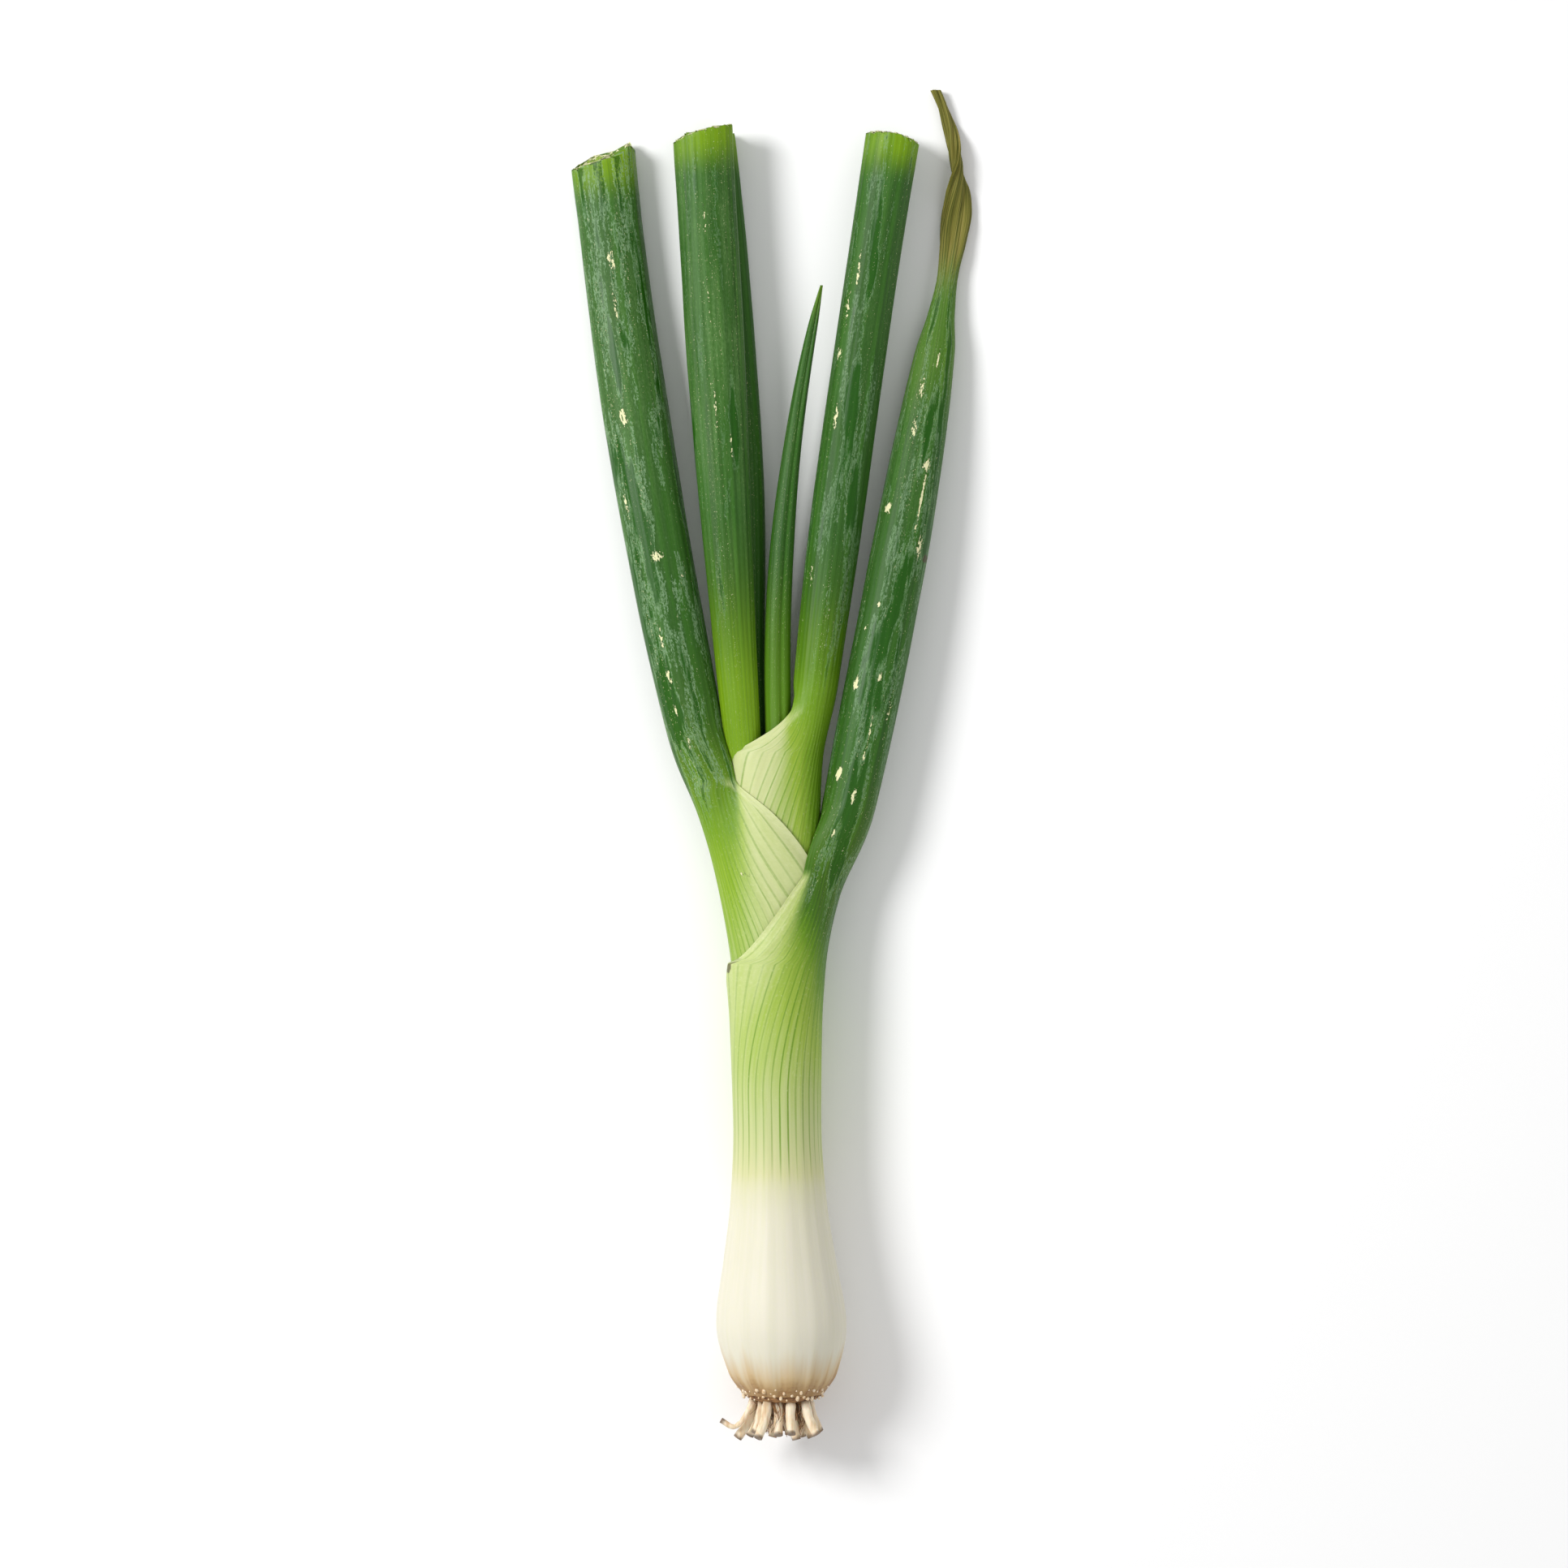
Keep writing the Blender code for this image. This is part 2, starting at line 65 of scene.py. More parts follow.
# Sheaths and bundle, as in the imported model
SHEATHS = 5
SHEATH_WALL = 0.85
SHEATH_GAP = 0.5
BULB_THICKENING = 0.205
STACK = SHEATHS * (SHEATH_WALL + SHEATH_GAP)
BASE_RADIUS = 1.05 + STACK
BULB_HEIGHT = 13.5
NECK_RADIUS = 1.95 + STACK
NECK_HEIGHT = 52.0
SHAFT_RADIUS = 2.55 + STACK
COLLAR_HALF_WIDTH = 4.55 + STACK
COLLAR_HALF_HEIGHT = 1.45 + STACK
ROW_HEIGHT = 138.4
ROW_X = 0.8
ROW_Z = 9.3
BASE_OFFSET_X = 1.7
CLEARANCE = 0.3
SHAFT_LEFTWARD = 0.6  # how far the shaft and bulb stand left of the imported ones
BLADE_WRAP = math.radians(150.0)  # half the angle of a blade that continues its sheath's outside
CUT_YELLOW = 9.0  # length of the yellowed cut end
MEMBRANE = 0.22  # thickness of a sheath at its margin
MARGIN_TAPER = 4.5  # how far in from its margin a sheath starts to thin
CUT_REACH = 12.0  # how far down from a cut end its slant is felt
TIP_TWIST = math.radians(-210.0)  # twist of the withered tip
FURROWS = 17  # soft furrows round the bulb
HIDDEN_STEP = 2.5  # between a leaf's rings where the sheath is hidden
SHARP_EDGE = math.radians(50.0)

# Roots
ROOT_COUNT = 18
ROOT_LENGTH = 7.2
ROOT_FAN = 0.42  # sideways run of an outermost root, as a share of its length
ROOT_STEPS = 24
FIBRE_STEPS = 5
PLATE_FACETS = 96
# A thin root that bends away to the side: x from the plate's middle, height under the plate, z from the middle
STRAY_ROOT = ((-5.6, 0.9, 2.0), (-6.7, -0.5, 2.0), (-8.3, -3.0, 2.1), (-9.8, -3.9, 2.0), (-12.2, -2.6, 1.7))

# Stage, in metres
FLOOR_HALF_WIDTH = 2.5
VIEW_X = 0.00264
VIEW_Y = -0.00392
VIEW_WIDTH = 0.309  # width of the picture at the height of the onion's middle
VIEW_LEVEL = 0.009

plate_low, plate_high = (Vector(corner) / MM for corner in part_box("basal_plate"))
BULB_RADIUS = (plate_low.z + plate_high.z) / 2
SHIFT_X = (plate_low.x + plate_high.x) / 2 - ROW_X - BASE_OFFSET_X
SHIFT_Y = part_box("outer_leaf")[0][1] / MM
PLATE_RADIUS = (plate_high.x - plate_low.x) / 2
PLATE_THICKNESS = plate_high.y - plate_low.y
ROOT_CIRCLE = PLATE_RADIUS - 1.6
ROOT_FOOT = SHIFT_Y - PLATE_THICKNESS - 2.2 * CLEARANCE


def srgb(red, green, blue):
    """A colour given as 0 to 255 per channel, as linear light."""
    return tuple(
        value / 255 / 12.92 if value <= 10 else ((value / 255 + 0.055) / 1.055) ** 2.4
        for value in (red, green, blue)
    )


def ramp(at, start, stop):
    """0 up to start, 1 from stop on, with a smooth rise between."""
    t = min(max((at - start) / (stop - start), 0.0), 1.0)
    return t * t * (3 - 2 * t)


def between(a, b, share):
    return a + (b - a) * share


def smooth_curve(keys, at):
    """The value at one place on a smooth curve through (place, value) keys that never overshoots them."""
    if at <= keys[0][0]:
        return keys[0][1]
    if at >= keys[-1][0]:
        return keys[-1][1]
    places = [key[0] for key in keys]
    values = [key[1] for key in keys]
    rises = [(values[i + 1] - values[i]) / (places[i + 1] - places[i]) for i in range(len(keys) - 1)]
    slopes = [rises[0], *(0.0 for _ in rises[1:]), rises[-1]]
    for i in range(1, len(rises)):
        if rises[i - 1] * rises[i] > 0:
            slopes[i] = 2 * rises[i - 1] * rises[i] / (rises[i - 1] + rises[i])
    i = max(j for j in range(len(rises)) if places[j] <= at)
    step = places[i + 1] - places[i]
    t = (at - places[i]) / step
    return (
        values[i] * (1 + 2 * t) * (1 - t) ** 2
        + values[i + 1] * t * t * (3 - 2 * t)
        + step * (slopes[i] * t * (1 - t) ** 2 - slopes[i + 1] * t * t * (1 - t))
    )


class Leaf(NamedTuple):
    """The shape and the colouring of one leaf. Places are above the row of blades unless said."""

    name: str
    node: str
    layer: int  # sheaths outside this one
    facing: float  # the side on which the blade grows
    mouth: tuple  # the sheath's opening, from its lowest point to its top
    span: float  # half the angle that the sheath covers at the mouth's top
    swell: tuple  # where the blade's back swells out of the sheath
    free: tuple  # where the blade comes free of the inner sheaths
    length: float
    lean: float  # sideways lean and curl of the blade
    curl: float
    end_z: float  # height of its end above the floor
    blade: tuple  # share of the length, half width, half height
    wall: float = 0.8
    cut_slope: float = 0.0
    cut_arch: float = 0.0  # how far the middle of the cut end stands up
    cut_tilt: float = 0.0  # how far the upper side is cut shorter than the lower
    mouth_bow: float = 1.0  # over 1, the margin climbs late; under 1, early
    hook: float = 0.0  # how far the withered tip bends back, and from which share of the length
    hook_start: float = 1.0
    visible: float = -140.0  # the lowest place that shows
    pale: tuple = ((0.0, 0.3),)  # greenness of the sheath by height
    green: tuple = ((-30.0, 0.4), (0.0, 1.0))  # greenness on the blade's side, by place
    seam: tuple = (0.0, 0.0, 0.0, 0.0)  # place, x and lean of the line where flap meets blade, and the flap's side
    painted_shade: float = 0.0  # painted shade: extra darker green on the right side, away from the mouth and from the light
    film: float = 1.4  # width of the whitish margin
    yellow: tuple = ((0.0, 0.0),)  # yellowness by place
    bloom: float = 0.6  # wax, from none to full
    wear: float = 0.5  # how much of it is rubbed off
    rib: float = 0.04  # depth of the blade's ribs


OUTER = Leaf(
    "Outer_leaf", "outer_leaf", 0, 0.0, (-54.0, -36.6), 59.7, (-56.0, -16.0), (-41.0, -21.0),
    118.9, 0.2, -2.24e-4, 0.75,
    ((-0.2, 5.4, 5.2), (0.0, 5.8, 5.0), (0.19, 5.8, 4.8), (0.38, 5.2, 4.4), (0.56, 3.9, 3.2),
     (0.63, 2.5, 1.9), (0.68, 2.0, 1.5), (0.78, 2.85, 1.0), (0.85, 2.3, 0.95), (0.9, 1.5, 0.95), (0.96, 1.1, 0.7),
     (1.0, 0.9, 0.8)),
    wall=0.0, hook=8.0, hook_start=0.77,
    pale=((20.0, 0.0), (34.0, 0.02), (40.0, 0.07), (48.0, 0.24), (58.0, 0.37), (66.0, 0.41), (86.0, 0.44),
          (110.0, 0.46)),
    green=((-90.0, 0.2), (-75.0, 0.42), (-62.0, 0.5), (-53.0, 0.56), (-47.0, 0.66), (-42.0, 0.82), (-36.0, 0.98),
           (-30.0, 1.0)),
    seam=(-38.6, 7.05, 0.36, -1.0), painted_shade=0.3, film=1.4,
    yellow=((-60.0, 0.1), (-35.0, 0.25), (-10.0, 0.0), (50.0, 0.0), (66.0, 0.3), (80.0, 0.3)),
    bloom=0.6, wear=0.6, rib=0.03, mouth_bow=0.68,
)
SECOND = Leaf(
    "Second_leaf", "second_leaf", 1, 180.0, (-42.0, -18.4), 33.8, (-62.0, -6.0), (-25.0, -6.0),
    104.5, -0.21, 5.0e-4, 4.25,
    ((-0.2, 5.2, 5.0), (0.0, 6.0, 5.0), (0.45, 6.64, 4.8), (1.0, 6.2, 4.2)),
    cut_slope=0.3, cut_arch=0.8, cut_tilt=1.0, visible=-66.0, pale=((60.0, 0.3), (90.0, 0.33), (120.0, 0.36)),
    green=((-75.0, 0.1), (-60.0, 0.38), (-47.0, 0.44), (-36.0, 0.54), (-26.0, 0.74), (-17.0, 0.98), (-10.0, 1.0)),
    seam=(-25.0, -5.9, -0.12, 1.0), film=2.2,
    yellow=((-62.0, 0.5), (-40.0, 0.95), (-22.0, 0.7), (-4.0, 0.1), (10.0, 0.0)),
    bloom=0.5, wear=0.75, rib=0.03, mouth_bow=1.8,
)
THIRD = Leaf(
    "Third_leaf", "third_leaf", 2, 0.0, (-12.4, -4.0), 76.0, (-24.0, 6.0), (-14.0, 2.0),
    108.3, 0.122, 1.74e-4, 8.5,
    ((-0.15, 3.9, 4.4), (0.0, 4.4, 4.4), (0.3, 5.2, 4.4), (1.0, 5.2, 4.2)),
    cut_slope=-0.2, cut_arch=1.2, visible=-38.0, pale=((95.0, 0.25), (125.0, 0.3)),
    green=((-45.0, 0.1), (-30.0, 0.38), (-10.0, 0.48), (1.0, 0.76), (9.0, 0.95), (16.0, 1.0)),
    seam=(-6.0, 3.2, 0.12, -1.0), painted_shade=0.4, film=3.0,
    yellow=((-30.0, 0.35), (-6.0, 0.6), (8.0, 0.45), (20.0, 0.1), (30.0, 0.0)),
    bloom=0.25, wear=0.5, rib=0.03, cut_tilt=0.5,
)
FOURTH = Leaf(
    "Fourth_leaf", "fourth_leaf", 3, 145.0, (-50.0, -38.0), 45.0, (-24.0, -11.0), (-24.0, -11.0),
    109.2, -0.077, 1.25e-4, 10.3,
    ((-0.15, 3.4, 2.2), (0.0, 4.0, 2.9), (0.4, 5.2, 3.4), (0.7, 5.8, 3.6), (1.0, 5.8, 3.6)),
    cut_slope=0.29, cut_arch=0.7, visible=-30.0, pale=((110.0, 0.6), (130.0, 0.65)),
    green=((-12.0, 0.68), (6.0, 0.85), (20.0, 1.0)),
    yellow=((-12.0, 1.0), (-2.0, 1.0), (10.0, 0.55), (24.0, 0.12), (34.0, 0.0)),
    bloom=0.7, wear=0.3, rib=0.04, cut_tilt=0.4,
)
# Painted shade: the back leaf is coloured full dark green from low down, with little wax bloom, because it lies in
# shade under the fourth leaf
BACK = Leaf(
    "Back_leaf", "back_leaf", 4, -95.0, (-44.0, -30.0), 42.0, (-24.0, -11.0), (-24.0, -11.0),
    110.0, -0.018, -4.5e-4, 3.3,
    ((-0.15, 3.5, 1.5), (0.0, 3.5, 1.5), (0.4, 4.8, 2.8), (1.0, 5.0, 3.1)),
    visible=-24.0, pale=((110.0, 0.9), (130.0, 1.0)), green=((-30.0, 1.0), (0.0, 1.0)),
    bloom=0.1, wear=0.2, rib=0.03,
)
YOUNG = Leaf(
    "Young_leaf", "young_leaf", 5, 90.0, (), 0.0, (-24.0, -11.0), (-24.0, -11.0),
    79.6, -0.0104, 1.5e-3, 8.6,
    ((-0.15, 2.6, 2.4), (0.0, 2.6, 2.4), (0.3, 2.45, 2.1), (0.6, 1.8, 1.5), (0.9, 0.95, 0.8),
     (1.0, 0.25, 0.25)),
    wall=0.0, visible=-24.0, pale=((110.0, 0.8), (130.0, 0.85)), green=((-20.0, 0.75), (24.0, 1.0)),
    yellow=((-12.0, 0.5), (10.0, 0.3), (30.0, 0.0), (70.0, 0.0), (79.0, 0.6)),
    bloom=0.35, wear=0.1, rib=0.02,
)
ROW_GAPS = {"Outer_leaf": 1.2, "Second_leaf": 0.3, "Third_leaf": 0.4, "Fourth_leaf": 1.1, "Back_leaf": 1.7}

# Scars (above 0) and bruises (below 0) by leaf: x, y, half length, half width, strength. All on the upper side.
SCARS = {
    OUTER.name: (
        (23.1, 50.5, 1.2, 0.7, 1.15), (30.6, 58.9, 1.2, 1.1, 0.85), (29.6, 52.0, 9.0, 0.3, 0.95),
        (29.2, 42.5, 3.0, 0.7, 0.8), (30.4, 40.4, 0.7, 0.5, -1.3), (28.2, 66.0, 3.4, 0.8, 0.72),
        (21.2, 31.4, 0.6, 0.45, 0.95), (18.6, 26.5, 0.5, 0.45, 1.0), (16.8, 15.8, 1.6, 0.55, 1.1),
        (21.5, 17.1, 1.3, 0.5, 0.9), (19.6, 6.8, 5.0, 0.3, 0.75), (13.4, -1.9, 1.6, 0.6, 1.2),
        (16.3, -6.3, 2.2, 0.7, 0.85), (18.2, 1.2, 2.4, 0.35, 0.75), (23.2, 10.5, 2.6, 0.4, 0.7),
        (29.8, 73.9, 2.6, 0.9, 0.72), (-8.2, -39.9, 1.2, 0.35, -1.3), (33.1, 80.1, 2.2, 0.3, 0.85),
        (12.4, -13.5, 1.4, 0.5, 0.7),
    ),
    SECOND.name: (
        (-31.4, 99.3, 2.4, 1.0, 0.72), (-29.0, 68.1, 1.9, 0.75, 1.1), (-29.1, 67.9, 0.7, 0.3, -1.2),
        (-28.4, 51.0, 2.8, 0.45, 0.8), (-22.3, 40.9, 1.2, 1.4, 0.95), (-17.4, 37.0, 0.6, 0.5, 0.9),
        (-21.5, 24.8, 3.2, 0.5, 0.7), (-20.0, 17.0, 3.4, 0.8, 0.62), (-18.6, 10.6, 2.6, 0.4, 0.75),
        (-16.0, 4.2, 2.4, 0.35, 0.8), (-30.6, 90.0, 5.0, 0.6, 0.6), (-5.2, -21.5, 0.8, 1.6, 0.6),
    ),
    THIRD.name: (
        (12.8, 68.0, 3.2, 0.4, 0.9), (13.5, 80.6, 1.4, 0.6, 0.85), (17.3, 97.3, 5.0, 0.4, 0.75),
        (15.2, 90.0, 4.0, 0.4, 0.65), (8.05, 37.2, 2.4, 0.9, 0.6),
    ),
    FOURTH.name: (
        (-13.0, 108.0, 6.0, 0.3, 0.62), (-12.2, 92.0, 7.0, 0.3, 0.62), (-10.8, 70.0, 6.0, 0.35, 0.66),
        (-7.6, 62.0, 4.0, 0.35, 0.6),
    ),
}
# Where the wax is rubbed away, by leaf: x, y, half length, half width
RUBS = {
    OUTER.name: (
        (22.3, 24.0, 9.0, 1.5), (20.0, 12.0, 10.0, 1.6), (16.5, -6.0, 11.0, 1.7), (25.5, 34.0, 8.0, 1.2),
        (30.5, 64.0, 9.0, 0.9), (13.6, -18.0, 7.0, 1.5),
    ),
    SECOND.name: (
        (-31.5, 60.0, 9.0, 1.4), (-25.4, 47.0, 12.0, 1.0), (-26.0, 25.0, 14.0, 1.5), (-20.0, 12.0, 13.0, 1.6),
        (-18.0, -2.0, 10.0, 1.6), (-30.5, 78.0, 9.0, 0.9),
    ),
    THIRD.name: (
        (15.8, 52.0, 12.0, 1.3), (20.5, 100.0, 12.0, 1.2), (16.0, 72.0, 6.0, 1.6),
    ),
    FOURTH.name: (
        (-7.0, 68.0, 9.0, 0.8), (-15.6, 66.0, 9.0, 0.6),
    ),
}


def bundle_radii(height):
    """Half width and half height of the whole bundle of sheaths."""
    round_part = smooth_curve(
        [
            (0.0, BASE_RADIUS),
            (0.3 * BULB_HEIGHT, between(BASE_RADIUS, BULB_RADIUS, 0.56)),
            (BULB_HEIGHT, BULB_RADIUS),
            (between(BULB_HEIGHT, NECK_HEIGHT, 0.34), between(NECK_RADIUS, BULB_RADIUS, 0.56)),
            (between(BULB_HEIGHT, NECK_HEIGHT, 0.63), between(NECK_RADIUS, BULB_RADIUS, 0.19)),
            (NECK_HEIGHT, NECK_RADIUS),
            (ROW_HEIGHT - 58.0, SHAFT_RADIUS),
        ],
        height,
    )
    fanned = ramp(height, ROW_HEIGHT - 66.0, ROW_HEIGHT - 34.0)
    return between(round_part, COLLAR_HALF_WIDTH, fanned), between(round_part, COLLAR_HALF_HEIGHT, fanned)


def sheath_wall(height):
    wall = SHEATH_WALL + BULB_THICKENING * max(bundle_radii(height)[1] - NECK_RADIUS, 0.0)
    if height < BULB_HEIGHT:
        wall = between(SHEATH_WALL, wall, ramp(height, 0.0, BULB_HEIGHT))
    return SHEATH_WALL if height > NECK_HEIGHT else wall


def bundle_centre(height):
    share = min(max(height / ROW_HEIGHT, 0.0), 1.0)
    down = min(max((height - BULB_HEIGHT) / (ROW_HEIGHT - BULB_HEIGHT), 0.0), 1.0)
    aside = ROW_X + BASE_OFFSET_X * (1 - share) ** 2.5 - SHAFT_LEFTWARD * ramp(ROW_HEIGHT - height, 8.0, 50.0)
    return aside + SHIFT_X, between(BULB_RADIUS, ROW_Z, down)


def blade_radii(leaf, above):
    share = above / leaf.length
    wide = smooth_curve([(at, half) for at, half, _ in leaf.blade], share)
    high = smooth_curve([(at, half) for at, _, half in leaf.blade], share)
    return wide, high


def row_place(leaf):
    """x and z of a blade's centre in the row, each beside its neighbour nearer the middle."""
    if leaf is YOUNG:
        return ROW_X + SHIFT_X, ROW_Z
    if leaf is BACK:
        return row_place(FOURTH)[0] + ROW_GAPS[leaf.name], ROW_Z - COLLAR_HALF_HEIGHT * 0.4
    inner = {FOURTH: YOUNG, SECOND: FOURTH, THIRD: YOUNG, OUTER: THIRD}[leaf]
    side = -1.0 if leaf in (SECOND, FOURTH) else 1.0
    apart = blade_radii(inner, 0.0)[0] + ROW_GAPS[leaf.name] + blade_radii(leaf, 0.0)[0]
    return row_place(inner)[0] + side * apart, ROW_Z


def blade_centre(leaf, above):
    row_x, row_z = row_place(leaf)
    x = row_x + leaf.lean * above + leaf.curl * above * above
    turned = max(above / leaf.length - leaf.hook_start, 0.0) / max(1.0 - leaf.hook_start, 1e-6)
    x -= leaf.hook * turned * turned
    z = between(row_z, leaf.end_z, ramp(above, 0.0, leaf.length))
    if leaf is FOURTH:
        z = blade_centre(BACK, above)[1] + blade_radii(BACK, above)[1] + CLEARANCE
        z += blade_radii(FOURTH, above)[1]
    return x, z


class Level:
    """Everything about a leaf's section at one height that is the same all round it."""

    def __init__(self, leaf, height, sizes):
        self.leaf = leaf
        self.height = height
        self.above = height - ROW_HEIGHT
        self.wall = sheath_wall(height)
        wide, high = bundle_radii(height)
        inset = leaf.layer * (self.wall + SHEATH_GAP)
        self.sheath = (wide - inset, high - inset)
        self.centre = bundle_centre(height)
        self.blade = blade_radii(leaf, self.above)
        self.blade_at = blade_centre(leaf, self.above)
        self.swollen = ramp(self.above, *leaf.swell)
        self.freed = ramp(self.above, *leaf.free)
        share = self.above / leaf.length
        self.dry = ramp(share, 0.58, 0.82) if leaf.hook else 0.0
        self.twist = TIP_TWIST * ramp(share, leaf.hook_start, 1.0) if leaf.hook else 0.0
        if leaf.mouth:
            low, top = (ROW_HEIGHT + above for above in leaf.mouth)
            risen = min(max((height - low) / (top - low), 0.0), 1.0)
            span = math.radians(leaf.span)
            self.covered = math.acos(between(-1.0, math.cos(span), risen ** leaf.mouth_bow))
            # Veins leave the margin early and gather towards the blade
            self.spread = min(self.covered, between(math.pi, span, ramp(height, low - 26.0, top + 2.0)))
            self.opened = height - low
        else:
            self.covered = self.spread = math.pi
            self.opened = -1.0
        self.sizes = sizes
        self.to_cut = leaf.length - self.above if leaf.wall else 1e3

    def relief(self, loop, around, turn, on_back):
        """Ribs, furrows, facets and unevenness of the surface, outwards, in millimetres."""
        leaf, sizes, height = self.leaf, self.sizes, self.height
        ring = Vector((4.0 * math.cos(around), 4.0 * math.sin(around), 0.055 * height + 9.1 * leaf.layer))
        uneven = noise.noise(ring * 0.55) * 0.16 + noise.noise(ring * 1.7) * 0.05
        bladed = self.freed
        steady = 0.65 + 0.7 * noise.noise(Vector((ring.x * 0.8, ring.y * 0.8, 0.02 * height)))
        rib = leaf.rib * sizes.rib_depth * (1.0 + 0.5 * ramp(-self.to_cut, -14.0, 0.0))
        ribs = math.cos(sizes.blade_ribs * loop + 2.0 * noise.noise(ring * 0.4)) * rib * steady
        value = uneven * (0.4 + 0.6 * bladed) + ribs * ramp(bladed, 0.5, 1.0)
        if on_back and bladed < 1.0:
            shown = ramp(height, 60.0, 95.0)
            vein = math.cos(math.tau * sizes.sheath_veins * turn * 0.5)
            value += (1 - bladed) * shown * 0.035 * vein
            lobes = math.cos(FURROWS * around + 3.0 * noise.noise(Vector((ring.x * 0.3, ring.y * 0.3, 0.0))))
            facets = 0.035 * (1.0 - ramp(height, 30.0, 75.0)) + 0.015
            furrows = 0.1 * (1.0 - ramp(height, 1.0, 9.0))
            value += (1 - bladed) * lobes * (facets + furrows)
        if self.dry:
            folds = math.cos(4.0 * loop + 0.18 * height) * 0.5 + math.cos(9.0 * loop - 0.11 * height) * 0.3
            creases = noise.noise(Vector((ring.x * 2.2, ring.y * 2.2, 0.25 * height))) * 0.5
            value += self.dry * (folds + creases) * 0.42 * min(1.0, self.blade[1])
        return value

    def point(self, place, count):
        """x, z and the colouring facts of one place round the section."""
        leaf = self.leaf
        outside = outside_count(count)
        on_back = place < outside
        if on_back:
            turn = 2.0 * place / (outside - 1) - 1.0
        else:
            turn = 2.0 * (count - 1 - place) / (count - outside - 1) - 1.0
        facing = math.radians(leaf.facing)
        short = 1.0 - 2.0 / count
        loop = facing + (turn * BLADE_WRAP * short if on_back else math.pi - turn * (math.pi - BLADE_WRAP) * short)
        bend = self.spread * turn + (self.covered - self.spread) * turn ** 5
        around = facing + bend
        middle = math.cos(bend / self.covered * math.pi / 2) ** 2
        moved = between(self.swollen * middle, 1.0, self.freed) if on_back else self.freed
        out = self.relief(loop, around, turn, on_back)
        # The sheath thins to a membrane towards its margin
        membrane = 0.0
        thin = 0.0
        if self.opened > 0.0:
            margin = (self.covered - abs(bend)) * self.sheath[0]
            membrane = (1.0 - ramp(margin, leaf.film - 0.5, leaf.film + 0.5)) * (1.0 - self.freed)
            thin = (1.0 - ramp(margin, 0.0, MARGIN_TAPER)) * (self.wall - MEMBRANE) * (1.0 - self.freed)
        elif leaf.mouth:
            below = -self.opened
            margin = (math.pi - abs(bend)) * self.sheath[0] + 1.2 * below
            membrane = 1.0 - ramp(margin, leaf.film - 0.5, leaf.film + 0.5)
            thin = (1.0 - ramp(margin, 0.0, MARGIN_TAPER)) * (self.wall - MEMBRANE)
        inset = thin - out if on_back else self.wall
        bulge = 1.1 * ramp(self.above, -26.0, -13.0) * max(-math.cos(around - 0.25), 0.0) if leaf is THIRD else 0.0
        sheath_x = self.centre[0] + (self.sheath[0] - inset + bulge) * math.cos(around)
        sheath_z = self.centre[1] + (self.sheath[1] - inset + bulge) * math.sin(around)
        across = (self.blade[0] + out) * math.cos(loop)
        upward = (self.blade[1] + out) * math.sin(loop)
        turned_x = across * math.cos(self.twist) - upward * math.sin(self.twist)
        turned_z = across * math.sin(self.twist) + upward * math.cos(self.twist)
        reach = abs(self.blade[0] * math.sin(self.twist)) + abs(self.blade[1] * math.cos(self.twist))
        blade_z = max(self.blade_at[1], reach + 0.45)
        x = between(sheath_x, self.blade_at[0] + turned_x, moved)
        z = between(sheath_z, blade_z + turned_z, moved)
        return x, max(z, 0.02), membrane, loop

    def lumen_point(self, place, count, inset):
        """x and z of a place on the hollow inside of the blade."""
        angle = math.radians(self.leaf.facing) - math.pi / 2 + math.tau * (place + 0.5) / count
        x = self.blade_at[0] + (self.blade[0] - inset) * math.cos(angle)
        return x, self.blade_at[1] + (self.blade[1] - inset) * math.sin(angle)


def outside_count(count):
    """How many of a ring's points lie on the outside of the leaf; the rest line the sheath."""
    return count * 3 // 4


def cut_rise(leaf, above, x, z):
    """How far a place near the cut end is moved up by the cut's slant, its arch and its raggedness."""
    if not leaf.wall:
        return 0.0
    near = max(0.0, 1.0 - (leaf.length - above) / CUT_REACH)
    if near == 0.0:
        return 0.0
    centre, middle = blade_centre(leaf, above)
    half, tall = blade_radii(leaf, above)
    across = max(-1.0, min(1.0, (x - centre) / half))
    rise = leaf.cut_slope * (x - centre) + leaf.cut_arch * (1.0 - across * across)
    rise -= leaf.cut_tilt * (z - middle) / tall
    ragged = near ** 4
    rise += ragged * 0.6 * noise.noise(Vector((x * 1.3, leaf.layer, z)))
    rise += ragged * 0.25 * noise.noise(Vector((x * 5.0, leaf.layer, z * 3.0)))
    if leaf is SECOND:
        rise += ragged * 1.6 * math.exp(-(((x - centre - 5.0) / 0.9) ** 2))
    return near * rise


def spot(leaf, aside, along, long, wide):
    """A soft-edged oval laid along a blade: 1 in its middle and 0 far off."""
    return math.exp(-(((aside - leaf.lean * along) / wide) ** 2 + (along / long) ** 2))


